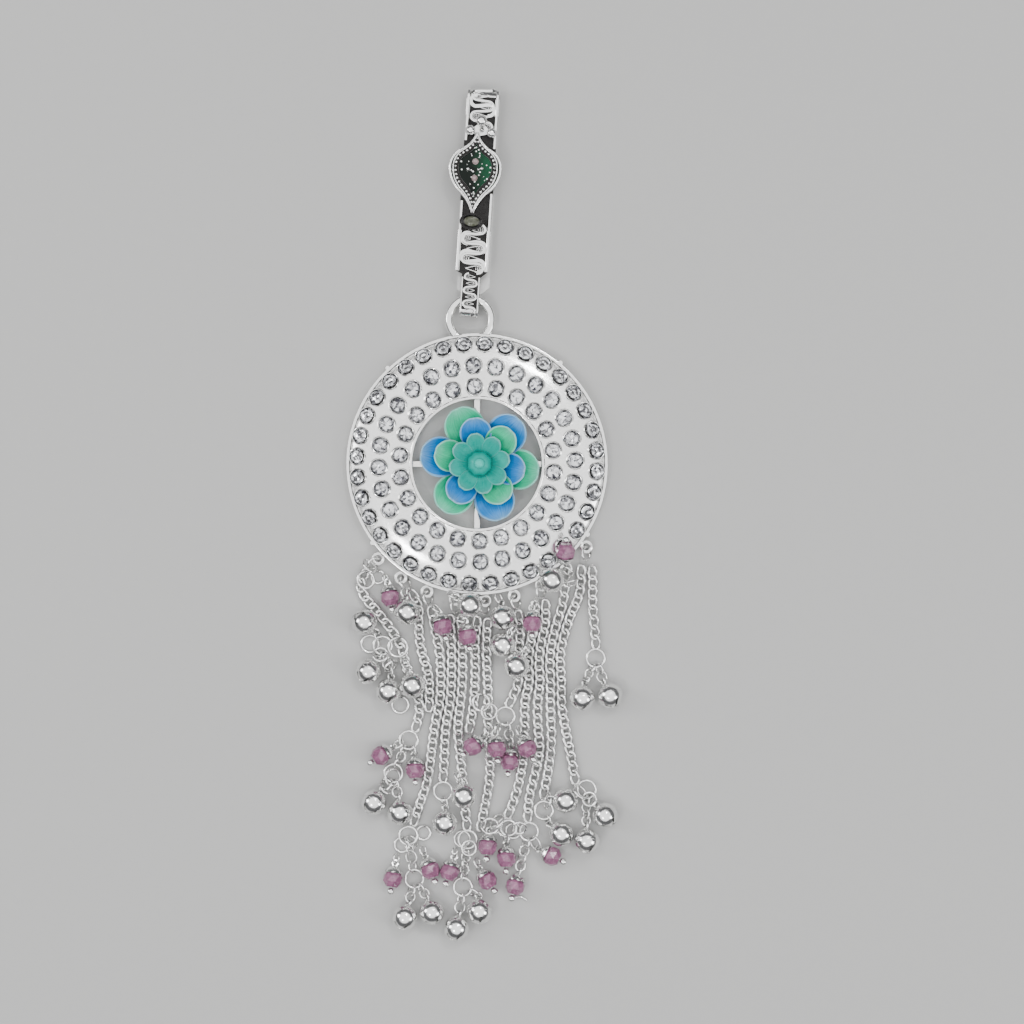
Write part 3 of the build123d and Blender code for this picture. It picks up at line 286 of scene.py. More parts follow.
# Runs of rings between two gather rings: x, y of each, number of rings, node
LINK_RUNS = (
    (-15.7, -63.3, -19.2, -70.9, 3, "drop_rings_lower_left"),
    (-15.8, -85.2, -14.4, -95.1, 3, "drop_rings_lower_left"),
    (-2.2, -86.1, -3.3, -97.0, 5, "drop_rings_lower_middle"),
)

# Spare rings that lie in the fringe: x, y, z of the middle, lean, heading of the lean, radius
LOOSE_RINGS = (
    (-25.52, -26.55, 2.2, 0.0, 0.0, 1.9), (-24.6, -23.33, 2.56, 60.0, 135.0, 1.8),
    (-22.8, -25.9, 0.4, 0.0, 0.0, 1.5), (-24.64, -41.26, 0.4, 0.0, 0.0, 2.0),
    (-19.81, -46.32, 2.02, 60.0, 45.0, 1.7), (-18.16, -41.95, 2.05, 0.0, 0.0, 2.2),
    (-22.07, -43.56, 3.05, 30.0, 180.0, 1.7), (-17.7, -55.29, 0.4, 0.0, 0.0, 1.9),
    (-19.39, -71.84, 1.35, 30.0, 90.0, 1.9), (-20.96, -74.18, 1.79, 60.0, 135.0, 1.6),
    (-17.28, -87.43, 0.4, 0.0, 0.0, 1.7), (-14.94, -86.55, 1.79, 60.0, 135.0, 1.6),
    (-12.33, -84.71, 0.4, 0.0, 0.0, 1.6), (-3.45, -86.09, 0.4, 0.0, 0.0, 1.8),
    (-1.84, -87.93, 2.64, 15.0, 90.0, 1.7), (2.99, -82.87, 2.7, 30.0, 180.0, 1.9),
    (4.6, -81.91, 2.2, 60.0, 225.0, 1.9), (7.21, -83.33, 2.52, 15.0, 180.0, 1.8),
    (8.32, -84.25, 0.4, 0.0, 0.0, 1.7), (9.66, -83.33, 2.7, 30.0, 0.0, 1.6),
    (0.92, -54.6, 2.2, 0.0, 0.0, 1.9), (2.76, -56.67, 2.52, 15.0, 45.0, 1.8),
    (23.68, -75.06, 3.16, 60.0, 135.0, 1.8), (25.71, -76.67, 3.06, 15.0, 270.0, 1.6),
)
# Loose wire end beside the lowest bead: its height, x and y along it
STRAY_Z = 0.4
STRAY_WIRE = ((7.6, -100.3), (8.3, -99.6), (9.4, -99.2), (10.5, -99.5), (11.4, -100.2))


# Settings


def colour(name, description, default):
    """Colour that a user can change."""
    return bpy.props.FloatVectorProperty(
        name=name, description=description, default=default, subtype="COLOR", size=3, min=0, max=1
    )


class BroochSilver(bpy.types.PropertyGroup):
    """Plated metal of the whole piece."""

    plate: colour("Plate", "Colour of the bright plating", (0.93, 0.93, 0.92))
    # Colour of the oxidised recesses; the same colour paints the shade in corners and the dark
    # reflection on the clip's back arm
    oxide_and_shade: colour("Oxide", "Colour of the blackened recesses", (0.012, 0.011, 0.011))
    roughness: bpy.props.FloatProperty(
        name="Roughness", description="Softness of the reflections", min=0.02, max=0.6,
        default=0.17, subtype="FACTOR",
    )
    # Reach of the corner darkening: oxidised hollows and painted shade together
    recess_depth: bpy.props.FloatProperty(
        name="Recess reach", description="Distance over which corners hold oxide", min=0.0001,
        max=0.003, default=0.0007, unit="LENGTH",
    )


class BroochStones(bpy.types.PropertyGroup):
    """Cut crystals, enamel and small stones."""

    girdle: bpy.props.FloatProperty(
        name="Girdle radius", description="Radius of a crystal at its girdle (mm)", min=1.0,
        max=1.8, default=1.78,
    )
    table: bpy.props.FloatProperty(
        name="Table radius", description="Radius of a crystal's flat table (mm)", min=0.4,
        max=1.3, default=0.95,
    )
    crown: bpy.props.FloatProperty(
        name="Crown height", description="Height from the girdle to the table (mm)", min=0.3,
        max=1.0, default=0.75,
    )
    foil: colour("Foil", "Colour of the foil behind a crystal", (0.95, 0.95, 0.96))
    enamel: colour("Enamel", "Bright side of the plaque's green enamel", (0.001, 0.060, 0.024))
    rose: colour("Rose stone", "Colour of the plaque's small stones", (0.36, 0.27, 0.27))
    olive: colour("Olive stone", "Colour of the oval stone", (0.085, 0.09, 0.06))


class BroochFlower(bpy.types.PropertyGroup):
    """Resin flower in the middle of the medallion."""

    green: colour("Green petal", "Colour of the green petals", (0.0, 0.42, 0.21))
    blue: colour("Blue petal", "Colour of the blue petals", (0.0, 0.16, 0.48))
    teal: colour("Cup", "Colour of the inner cup and bud", (0.0, 0.31, 0.255))
    edge: colour("Petal edge", "Colour of the rolled petal edges", (0.52, 0.78, 0.80))
    wall: bpy.props.FloatProperty(
        name="Petal thickness", description="Thickness of a petal (mm)", min=0.3, max=0.9,
        default=0.55,
    )


class BroochFringe(bpy.types.PropertyGroup):
    """Chains, bells, beads and rings below the medallion."""

    pitch: bpy.props.FloatProperty(
        name="Link pitch", description="Distance from one chain link to the next (mm)", min=1.6,
        max=3.0, default=2.2,
    )
    link_wire: bpy.props.FloatProperty(
        name="Link wire", description="Radius of a chain link's wire (mm)", min=0.2, max=0.45,
        default=0.4,
    )
    link_twist: bpy.props.FloatProperty(
        name="Link twist", description="Turn of each end of a curb link", subtype="ANGLE",
        min=0.0, max=0.8, default=0.42,
    )
    bell_wall: bpy.props.FloatProperty(
        name="Bell wall", description="Thickness of a bell's sheet (mm)", min=0.2, max=0.6,
        default=0.4,
    )
    glass: colour("Bead glass", "Colour of the pink glass", (0.55, 0.22, 0.40))


class BroochStage(bpy.types.PropertyGroup):
    """Floor, camera and lamps."""

    floor: colour("Floor", "Colour of the plain floor", (0.44, 0.44, 0.435))
    camera_height: bpy.props.FloatProperty(
        name="Camera height", description="Height of the camera over the floor", min=0.3,
        max=2.0, default=0.62, unit="LENGTH",
    )
    frame_width: bpy.props.FloatProperty(
        name="Frame width", description="Width of floor that the camera sees", min=0.1,
        max=0.6, default=0.2354, unit="LENGTH",
    )
    softbox_power: bpy.props.FloatProperty(
        name="Softbox power", description="Power of the overhead softbox", min=0.0,
        max=100.0, default=22.4, unit="POWER",
    )


SETTINGS = {
    "brooch_silver": BroochSilver,
    "brooch_stones": BroochStones,
    "brooch_flower": BroochFlower,
    "brooch_fringe": BroochFringe,
    "brooch_stage": BroochStage,
}


# Modelling by hand


def deselect():
    """Leave edit mode with nothing selected."""
    active = bpy.context.view_layer.objects.active
    if active and active.mode != "OBJECT":
        bpy.ops.object.mode_set(mode="OBJECT")
    bpy.ops.object.select_all(action="DESELECT")


def take(*pieces):
    """Select these pieces alone, the first one active."""
    deselect()
    for piece in pieces:
        piece.select_set(True)
    bpy.context.view_layer.objects.active = pieces[0]


def start(kind, **size):
    """Add one primitive, alone in the selection."""
    deselect()
    getattr(bpy.ops.mesh, "primitive_" + kind + "_add")(**size)
    piece = bpy.context.object
    if any(piece.location) or any(piece.rotation_euler):
        bpy.ops.object.transform_apply(location=True, rotation=True, scale=True)
    return piece


def pick(piece, kind, test):
    """Select in edit mode the vertices, edges or faces that pass a test on their middle."""
    if piece.mode != "EDIT":
        bpy.ops.object.mode_set(mode="EDIT")
    bpy.ops.mesh.select_mode(type=kind)
    bpy.ops.mesh.select_all(action="DESELECT")
    mesh = bmesh.from_edit_mesh(piece.data)
    parts, middle = {
        "VERT": (mesh.verts, lambda vertex: vertex.co),
        "EDGE": (mesh.edges, lambda edge: (edge.verts[0].co + edge.verts[1].co) / 2),
        "FACE": (mesh.faces, lambda face: face.calc_center_median()),
    }[kind]
    for part in parts:
        part.select_set(test(middle(part)))
    mesh.select_flush_mode()
    bmesh.update_edit_mesh(piece.data)


def all_of(place):
    """Test that every place passes."""
    return True


def close_up(piece):
    """Merge doubles, turn the faces outwards and leave edit mode."""
    pick(piece, "VERT", all_of)
    bpy.ops.mesh.remove_doubles(threshold=0.002)
    bpy.ops.mesh.normals_make_consistent(inside=False)
    bpy.ops.object.mode_set(mode="OBJECT")
    return piece


def reshape(piece, test, size, centre=(0, 0, 0)):
    """Scale the vertices that pass a test about a centre, and leave edit mode."""
    pick(piece, "VERT", test)
    bpy.ops.transform.resize(value=size, center_override=centre)
    bpy.ops.object.mode_set(mode="OBJECT")


def grow(radius, height, rows, turn):
    """Extrude what is selected through rows of radius and height, each turned on the last."""
    for row_radius, row_height in rows:
        rise, centre = (0, 0, row_height - height), (0, 0, row_height)
        bpy.ops.mesh.extrude_region_move(TRANSFORM_OT_translate={"value": rise})
        ratio = row_radius / radius
        bpy.ops.transform.resize(value=(ratio, ratio, 1), center_override=centre)
        bpy.ops.transform.rotate(value=turn, orient_axis="Z", center_override=centre)
        radius, height = row_radius, row_height


def facet(piece, test):
    """Cut the faces that pass a test into triangles."""
    pick(piece, "FACE", test)
    bpy.ops.mesh.quads_convert_to_tris(quad_method="SHORTEST_DIAGONAL")


def lathe(points, steps):
    """Profile of (radius, height) points spun once round the Z axis."""
    piece = start("plane", size=0.1)
    pick(piece, "VERT", all_of)
    bpy.ops.mesh.merge(type="CENTER")
    bpy.ops.transform.translate(value=(points[0][0], 0, points[0][1]))
    for (near_r, near_z), (far_r, far_z) in zip(points, points[1:]):
        move = (far_r - near_r, 0, far_z - near_z)
        bpy.ops.mesh.extrude_region_move(TRANSFORM_OT_translate={"value": move})
    bpy.ops.mesh.select_all(action="SELECT")
    bpy.ops.mesh.spin(steps=steps, angle=2 * pi, center=(0, 0, 0), axis=(0, 0, 1))
    return close_up(piece)


def apply_modifier(piece, kind, **settings):
    """Add one modifier with its settings and apply it."""
    take(piece)
    modifier = piece.modifiers.new(kind.lower(), kind)
    for name, value in settings.items():
        setattr(modifier, name, value)
    bpy.ops.object.modifier_apply(modifier=modifier.name)


def cut_away(piece, tool):
    """Cut a tool's shape out of a piece; the tool goes afterwards."""
    apply_modifier(piece, "BOOLEAN", object=tool, operation="DIFFERENCE", solver="EXACT")
    bpy.data.objects.remove(tool)


def join(pieces):
    """Join pieces into the first one."""
    take(*pieces)
    if len(pieces) > 1:
        bpy.ops.object.join()
    return pieces[0]


def copy_of(pattern, place):
    """Copy of a pattern with its own mesh, put at a place."""
    mesh = pattern.data.copy()
    mesh.transform(place)
    piece = bpy.data.objects.new(pattern.name, mesh)
    bpy.context.collection.objects.link(piece)
    return piece


def copies(pattern, places, keep=False):
    """Joined copies of a pattern, which goes afterwards unless it is kept."""
    made = [copy_of(pattern, place) for place in places]
    if not keep:
        bpy.data.objects.remove(pattern)
    return join(made)


def settle(piece, name, finishes, *nodes, body=ROOT, slot="silver_plate", angle=40.0):
    """Bring a finished piece to metres with its finish and body, in place of its nodes; its slot
    argument is not used.
    """
    take(piece)
    piece.name = name
    piece.data.name = name
    if finishes:
        piece.data.materials.clear()
        for finish in finishes:
            piece.data.materials.append(bpy.data.materials[finish])
    piece.data.transform(Matrix.Scale(MM, 4))
    bpy.ops.object.shade_smooth_by_angle(angle=radians(angle))
    piece.select_set(False)
    if nodes:
        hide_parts(*nodes)
    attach(piece, body)


def nurbs(points, z, order, resolution):
    """Object that holds a smooth open curve along points in plan."""
    curve = bpy.data.curves.new("line", "CURVE")
    curve.dimensions = "3D"
    line = curve.splines.new("NURBS")
    line.points.add(len(points) - 1)
    for spot, (x, y) in zip(line.points, points):
        spot.co = (x, y, z, 1.0)
    line.order_u = order
    line.use_endpoint_u = True
    line.resolution_u = resolution
    return bpy.data.objects.new("line", curve)


def wire_along(points, z, radius, order=4):
    """Round wire along points in plan, as a mesh."""
    piece = nurbs(points, z, order, 4)
    piece.data.bevel_depth = radius
    piece.data.bevel_resolution = 1
    bpy.context.collection.objects.link(piece)
    take(piece)
    bpy.ops.object.convert(target="MESH")
    return bpy.context.object


def straight(u, low, high, steps):
    """Points up a straight line in plan."""
    return [(u, low + (high - low) * step / steps) for step in range(steps + 1)]


def in_flute(spot, low, high):
    """Every third line of a form that is turned in 24 steps, between two heights."""
    line = round(atan2(spot.y, spot.x) / (2 * pi / TURNED_STEPS))
    return line % 3 == 0 and low < spot.z < high


# Places


def polar(radius, angle, x=0.0, y=0.0):
    """Point in plan at an angle in degrees about (x, y)."""
    return (x + radius * cos(radians(angle)), y + radius * sin(radians(angle)))


def turned(angle, axis="Z"):
    """Turn by an angle in degrees."""
    return Matrix.Rotation(radians(angle), 4, axis)


def aimed(origin, z_dir, x_dir):
    """Placement with its own Z along z_dir and its X towards x_dir."""
    z_dir = Vector(z_dir).normalized()
    y_dir = z_dir.cross(Vector(x_dir)).normalized()
    turn = Matrix((y_dir.cross(z_dir), y_dir, z_dir)).transposed().to_4x4()
    return Matrix.Translation(Vector(origin)) @ turn


def ring_place(near, far, roll):
    """Placement of a round ring from near to far, rolled about the line between them."""
    along = far - near
    side = Vector((0, 0, 1)).cross(along).normalized()
    up = along.normalized().cross(side)
    normal = up * cos(radians(roll)) + side * sin(radians(roll))
    return aimed(near + along / 2, normal, along)


def dome_z(radius):
    """Height of the plate's domed face."""
    return DOME_TOP - DOME_ARC_R + sqrt(DOME_ARC_R**2 - (radius - DOME_APEX_R) ** 2)


def stone_places(count, radius, first):
    """Placements of a row's stones, each with Z square to the dome and X outwards."""
    lean = asin((radius - DOME_APEX_R) / DOME_ARC_R)
    places = []
    for index in range(count):
        angle = first - index * 360.0 / count
        outward = Vector((*polar(1.0, angle), 0.0))
        spot = outward * radius + Vector((0, 0, dome_z(radius)))
        normal = outward * sin(lean) + Vector((0, 0, cos(lean)))
        places.append(aimed(spot, normal, outward))
    return places


def eyelet_point(index):
    """Middle of an eyelet's hole."""
    return polar(EYELET_PITCH_R, EYELET_FIRST + index * EYELET_STEP)


def clip_place(u=0.0, v=0.0, z=0.0):
    """Place in the clip's own frame: u across, v up from the hinge."""
    hinge = Matrix.Translation((CLIP_X, CLIP_Y, 0)) @ turned(-CLIP_TILT)
    return hinge @ Matrix.Translation((u, v, z))


def lengths_along(points):
    """Length of a line of points up to each of them."""
    lengths = [0.0]
    for near, far in zip(points, points[1:]):
        lengths.append(lengths[-1] + (far - near).length)
    return lengths


def spot_at(points, lengths, reach):
    """Spot at a length along a line of points, and the heading there."""
    index = max(i for i, length in enumerate(lengths[:-1]) if length <= reach)
    near, far = points[index], points[index + 1]
    share = (reach - lengths[index]) / (lengths[index + 1] - lengths[index])
    return near.lerp(far, share), (far - near).normalized()


def link_roll(index, count, last_roll):
    """Roll of one ring of a run, each ring square to the next."""
    return last_roll - 90.0 * ((count - 1 - index) % 2)


def drop_line(row, reach):
    """Loop point of a drop and its unit axis from the loop to the mouth or ball."""
    x, y, heading, z, loop_z = row[:5]
    rise = (z - loop_z) / reach
    axis = Vector((*polar(sqrt(1 - rise**2), heading), rise))
    return Vector((x, y, z)) - axis * reach, axis


def drop_place(row, reach):
    """Placement of a drop, its loop turned to face its first ring's wire."""
    loop, axis = drop_line(row, reach)
    count, hold, last_roll = row[5], Vector(row[6:9]), row[9][1]
    along = (hold - loop).normalized()
    side = Vector((0, 0, 1)).cross(along).normalized()
    up = along.cross(side)
    turn = radians(link_roll(0, count, last_roll))
    wire = side * cos(turn) - up * sin(turn)
    return aimed(Vector((row[0], row[1], row[3])), axis, axis.cross(wire))


def ring_run(near, far, count, last_roll):
    """Places and radii of the linked rings from one wire point to the other."""
    total = max(count, 1)
    along = (far - near).normalized()
    radius = ((far - near).length + (total - 1) * RING_LAP) / (2 * total)
    run = []
    for index in range(total):
        spot = near + along * index * (2 * radius - RING_LAP)
        roll = link_roll(index, count, last_roll)
        run.append((ring_place(spot, spot + along * 2 * radius, roll), radius, LINK_WIRE_R))
    return run


def drop_rings(rows, reach):
    """Rings that hang each drop of a table from its hold point."""
    rings = []
    for row in rows:
        loop, _ = drop_line(row, reach)
        hold = Vector(row[6:9])
        stop, last_roll = row[9]
        rings += ring_run(loop, hold + (loop - hold).normalized() * stop, row[5], last_roll)
    return rings


def fringe_rings():
    """Every ring of the fringe, sorted by the node that it stands for."""
    rings = {}
    for node, places in GATHER_RINGS.items():
        rings[node] = [
            (Matrix.Translation((x, y, GATHER_Z)), GATHER_R, GATHER_WIRE_R) for x, y in places
        ]
    for part in ("left", "middle", "right", "lower_left", "lower_middle", "lower_right"):
        rings["drop_rings_" + part] += drop_rings(BELLS["bells_" + part], BELL_LOOP_AT)
    for part in ("lower_left", "lower_middle", "lower_right"):
        rings["drop_rings_" + part] += drop_rings(BEADS[part], PIN_LOOP_AT)
    rings["drop_rings_middle"] += drop_rings(BEADS["upper"] + BEADS["middle"], PIN_LOOP_AT)
    for x0, y0, x1, y1, count, node in LINK_RUNS:
        first, last = Vector((x0, y0, RUN_Z)), Vector((x1, y1, RUN_Z))
        inward = (last - first).normalized() * GATHER_HOOK[0]
        rings[node] += ring_run(first + inward, last - inward, count, GATHER_HOOK[1])
    rings["eyelet_rings"] = []
    for index, heading in enumerate(JUMP_HEADINGS):
        near = Vector((*eyelet_point(index), EYELET_Z))
        far = Vector((*polar(2 * JUMP_R, heading, near.x, near.y), EYELET_Z))
        rings["eyelet_rings"].append((ring_place(near, far, JUMP_ROLL), JUMP_R, JUMP_WIRE_R))
    return rings


# Finishes

MOTTLE_GREY = (0.42, 0.42, 0.41)
SPECK_SILVER = (0.85, 0.85, 0.84)
STONE_EDGE = (0.004, 0.004, 0.004)
# Heights between which a bud or stone goes from its low colour to its high one
BUD_CROWN = (8.0, 9.6)
ROSE_EDGE = (6.5, 6.7)
OLIVE_EDGE = (6.25, 6.38)
# Darkened flats: lowest and highest height, depth of the darkening. The plaque's flats and the clip
# strip's face are oxidised; the strip's low band, on top of its back arm, is a painted reflection
# of the dark room.
STRIP_OXIDE_AND_REFLECTION_BANDS = ((CLIP_TOP - 0.05, CLIP_TOP + 0.12, 1.0), (STRIP_T - 0.1, STRIP_T + 0.1, 0.45))
PLAQUE_BANDS = tuple(
    (level - 0.04, level + 0.04, 1.0) for level in (PLAQUE_BAND_TOP, BEZEL_TOP, PLAQUE_TOP)
)


class Wire:
    """Output socket whose sums, products and comparisons add their own Math nodes."""

    def __init__(self, finish, socket):
        self.finish = finish
        self.socket = socket

    def math(self, operation, *values):
        return self.finish.add("ShaderNodeMath", {"operation": operation}, *values)

    def __add__(self, other):
        return self.math("ADD", self, other)

    def __sub__(self, other):
        return self.math("SUBTRACT", self, other)

    def __rsub__(self, other):
        return self.math("SUBTRACT", other, self)

    def __mul__(self, other):
        return self.math("MULTIPLY", self, other)

    def __gt__(self, other):
        return self.math("GREATER_THAN", self, other)

    def __lt__(self, other):
        return self.math("LESS_THAN", self, other)

    def __abs__(self):
        return self.math("ABSOLUTE", self)

    __radd__ = __add__
    __rmul__ = __mul__


class Finish:
    """Material under its maker's hands."""

    def __init__(self, name, **constants):
        self.material = bpy.data.materials.new(name)
        self.material.use_nodes = True
        self.tree = self.material.node_tree
        self.shader = self.tree.nodes["Principled BSDF"]
        for socket, value in constants.items():
            self.shader.inputs[socket.replace("_", " ")].default_value = value

    def add(self, kind, settings, *values, out=None, **named):
        """Add a node: its settings first, then the values or wires of its sockets."""
        node = self.tree.nodes.new(kind)
        for name, value in settings.items():
            setattr(node, name, value)
        open_sockets = [socket for socket in node.inputs if socket.enabled]
        for socket, value in zip(open_sockets, values):
            self.feed(socket, value)
        for name, value in named.items():
            self.feed(node.inputs[name.replace("_", " ")], value)
        open_outputs = [socket for socket in node.outputs if socket.enabled]
        return Wire(self, node.outputs[out] if out else open_outputs[0])

    def feed(self, socket, value):
        """Wire or set one input socket."""
        if isinstance(value, Wire):
            self.tree.links.new(value.socket, socket)
        elif socket.type == "RGBA" and len(value) == 3:
            socket.default_value = (*value, 1.0)
        else:
            socket.default_value = value

    def place(self):
        """Object coordinates, in millimetres."""
        spot = self.add("ShaderNodeTexCoord", {}, out="Object")
        return self.add("ShaderNodeMapping", {}, spot, Scale=(1 / MM,) * 3)

    def split(self, vector):
        """X, Y and Z of a vector."""
        first = self.add("ShaderNodeSeparateXYZ", {}, vector)
        return [Wire(self, socket) for socket in first.socket.node.outputs]

    def noise(self, vector, scale, detail=2.0, rough=0.5):
        """Cloudy value with this many spots in a millimetre."""
        return self.add(
            "ShaderNodeTexNoise", {}, vector, Scale=scale, Detail=detail, Roughness=rough
        )

    def spread(self, value, low, high, to_low=0.0, to_high=1.0):
        """Value brought from one range to another and held there."""
        return self.add("ShaderNodeMapRange", {"clamp": True}, value, low, high, to_low, to_high)

    def blend(self, factor, first, second):
        """Two colours mixed by a factor."""
        return self.add("ShaderNodeMix", {"data_type": "RGBA"}, factor, first, second)

    def crevice(self, reach):
        """1 in corners and under things, 0 in the open."""
        shade = self.add("ShaderNodeAmbientOcclusion", {"samples": 6}, Distance=reach, out="AO")
        return 1.0 - shade

    def bump(self, height, distance, strength):
        """Fine relief from a height."""
        raised = self.add("ShaderNodeBump", {}, Height=height, Distance=distance, Strength=strength)
        self.feed(self.shader.inputs["Normal"], raised)

    def skin(self, **sockets):
        """Wire what changes over the surface into the shader."""
        for name, value in sockets.items():
            self.feed(self.shader.inputs[name.replace("_", " ")], value)


def shade(tint, factor, lift=0.0):
    """Colour with its parts scaled and lifted."""
    return tuple(min(1.0, factor * part + lift) for part in tint)


def stir(first, share, second, other_share):
    """Two colours added in their shares."""
    return tuple(min(1.0, share * a + other_share * b) for a, b in zip(first, second))


def silver_finish(name, silver, bands=(), dulling=0.0, mottle=0.35):
    """Bright plating with oxidised hollows and painted shade in its corners, and darkened flats of
    bands: low, high, depth.
    """
    make = Finish(name, Metallic=1.0)
    spot = make.place()
    # Painted shade: the occlusion node darkens corners and the gaps between parts, together with
    # the oxidised hollows
    corner = make.spread(make.crevice(silver.recess_depth), 0.35, 0.85)
    wear = make.noise(spot, 1.4, detail=4.0, rough=0.6)
    grain = make.noise(spot, 9.0, detail=3.0)
    dark = corner * make.spread(wear, 0.25, 0.6, 0.55, 1.0)
    # Band flats: oxidised, except the clip strip's back-arm band, which is a painted reflection of
    # the dark room
    for low, high, depth in bands:
        z = make.split(spot)[2]
        flat = make.split(make.add("ShaderNodeNewGeometry", {}, out="Normal"))[2]
        floor = (z > low) * (z < high) * (flat > 0.6)
        patch = make.spread(grain, 0.3, 0.6, 0.95 * depth, depth)
        dark = make.spread(dark + floor * patch, 0.0, 1.0)
    speck = make.spread(make.noise(spot, 3.6, detail=4.0, rough=0.7), 0.48, 0.68)
    colour = make.blend(speck * mottle, silver.plate, MOTTLE_GREY)
    # One dark colour for the oxidised hollows, the painted shade and the painted back-arm
    # reflection
    colour = make.blend(dark, colour, silver.oxide_and_shade)
    rough = make.spread(grain, 0.25, 0.75, silver.roughness * 0.75, silver.roughness * 1.3)
    make.skin(Base_Color=colour, Roughness=rough + dark * 0.35 + dulling)
    make.bump(wear * 0.5 + grain * 0.5, 0.00003, 0.5)
    return make.material


def crystal_finish(name):
    """Clear cut glass."""
    make = Finish(name, Transmission_Weight=1.0, IOR=1.55)
    haze = make.noise(make.place(), 3.0)
    make.skin(
        Base_Color=make.blend(haze, (0.97, 0.98, 0.99), (0.93, 0.95, 0.97)),
        Roughness=make.spread(haze, 0.4, 0.8, 0.0, 0.04),
    )
    return make.material


def foil_finish(name, tint):
    """Mirror foil behind the crystals, each facet a little lighter or darker: painted reflections
    of a cut stone's facets, from near black to bright.
    """
    make = Finish(name, Metallic=1.0, Roughness=0.05)
    # Painted reflections: the foil's cells run from near black to bright, standing for the dark and
    # bright facets of a cut stone
    cells = make.add("ShaderNodeTexVoronoi", {}, make.place(), Scale=2.3, out="Color")
    shade = make.spread(make.split(cells)[0], 0.1, 0.8)
    make.skin(Base_Color=make.blend(shade, (0.03, 0.03, 0.04), tint))
    return make.material


def glass_finish(name, tint):
    """Pink bead glass, cloudy inside, with streaks along the object."""
    make = Finish(name, Transmission_Weight=0.45, IOR=1.5, Coat_Weight=0.6, Coat_Roughness=0.05)
    spot = make.place()
    cloud = make.noise(spot, 0.9, detail=4.0, rough=0.65)
    colour = make.blend(make.spread(cloud, 0.35, 0.7), shade(tint, 0.55), tint)
    fleck = make.spread(make.noise(spot, 2.2), 0.62, 0.75, 0.0, 0.6)
    colour = make.blend(fleck, colour, shade(tint, 0.55, 0.45))
    make.skin(Base_Color=colour, Roughness=make.spread(cloud, 0.3, 0.7, 0.06, 0.2))
    return make.material


def petal_finish(name, tint, edge):
    """Moulded resin petal: pale rolled edges, streaks from foot to tip, soft gloss, and painted
    shade under the petals above.
    """
    make = Finish(name, Specular_IOR_Level=0.15)
    across, along, _ = make.split(make.add("ShaderNodeUVMap", {"uv_map": "UVMap"}))
    off_middle = abs(across - 0.5) * 2.0
    spot = make.place()
    lines = make.add("ShaderNodeCombineXYZ", {}, across * 26.0, along * 1.5, 0.0)
    streak = make.noise(lines, 1.0, detail=3.0, rough=0.6)
    cloud = make.noise(spot, 0.35, detail=2.0)
    deep, pale = shade(tint, 0.4), shade(tint, 1.5, 0.02)
    colour = make.blend(make.spread(along, 0.0, 0.6, 0.7, 0.0), tint, deep)
    colour = make.blend(make.spread(streak, 0.4, 0.75, 0.0, 0.5), colour, pale)
    colour = make.blend(make.spread(cloud, 0.45, 0.7, 0.0, 0.5), colour, pale)
    outer = make.spread(along + (streak - 0.5) * 0.5, 0.6, 1.05, 0.0, 0.7)
    colour = make.blend(outer, colour, stir(tint, 0.55, edge, 0.45))
    rim = make.spread(off_middle + (streak - 0.5) * 0.3, 0.9, 1.0)
    tip = make.spread(along + (streak - 0.5) * 0.2, 0.95, 1.0)
    colour = make.blend(make.spread(rim + tip, 0.0, 1.0) * 0.5, colour, edge)
    # Painted shade: the occlusion node darkens corners and the parts under other petals
    colour = make.blend(make.crevice(0.002) * 0.7, colour, deep)
    make.skin(Base_Color=colour, Roughness=make.spread(make.noise(spot, 2.0), 0.3, 0.7, 0.25, 0.4))
    make.bump(streak, 0.00012, 0.6)
    return make.material


def bud_finish(name, tint, edge):
    """The same resin on the bud, a little paler on its crown, with painted shade in its hollows."""
    make = Finish(name, Specular_IOR_Level=0.2)
    spot = make.place()
    height = make.split(spot)[2]
    cloud = make.noise(spot, 0.8, detail=3.0)
    bright = stir(tint, 1.5, edge, 0.06)
    colour = make.blend(make.spread(height + cloud, *BUD_CROWN), tint, bright)
    # Painted shade: the occlusion node darkens the bud's hollows and where other parts close round
    # it
    colour = make.blend(make.crevice(0.0015) * 0.6, colour, shade(tint, 0.4))
    make.skin(Base_Color=colour, Roughness=make.spread(cloud, 0.3, 0.7, 0.25, 0.4))
    return make.material


def enamel_finish(name, tint):
    """Glossy enamel, nearly black on one side and green on the other, with silver specks."""
    make = Finish(name, Coat_Weight=0.05, Coat_Roughness=0.04, Specular_IOR_Level=0.15)
    spot = make.place()
    x, y, _ = make.split(spot)
    side = make.spread(x + make.noise(spot, 0.8, detail=3.0) * 3.0, 0.6, 4.2)
    colour = make.blend(side, shade(tint, 0.06), tint)
    cells = make.add("ShaderNodeTexVoronoi", {}, spot, Scale=1.0)
    speck = cells < 0.19
    colour = make.blend(speck, colour, SPECK_SILVER)
    make.skin(Base_Color=colour, Metallic=speck * 0.9, Roughness=0.16 + speck * 0.1)
    make.bump(speck + make.noise(spot, 1.5) * 0.2, 0.0001, 0.7)
    return make.material


def stone_finish(name, tint, scale, edge):
    """Small opaque stone with cloudy veins, black up to its low edge's two heights."""
    make = Finish(name, Coat_Weight=0.3, Coat_Roughness=0.05, Specular_IOR_Level=0.3)
    spot = make.place()
    vein = make.noise(spot, scale, detail=5.0, rough=0.7)
    colour = make.blend(make.spread(vein, 0.3, 0.55), shade(tint, 0.35), tint)
    colour = make.blend(make.spread(vein, 0.55, 0.75), colour, shade(tint, 0.6, 0.3))
    colour = make.blend(make.spread(make.split(spot)[2], *edge), STONE_EDGE, colour)
    make.skin(Base_Color=colour, Roughness=make.spread(vein, 0.3, 0.7, 0.12, 0.3))
    return make.material


def floor_finish(name, tint):
    """Plain matt paper."""
    make = Finish(name)
    tooth = make.noise(make.place(), 0.4, detail=3.0)
    colour = make.blend(tooth, tint, shade(tint, 1.04))
    make.skin(Base_Color=colour, Roughness=0.85 + tooth * 0.1)
    return make.material


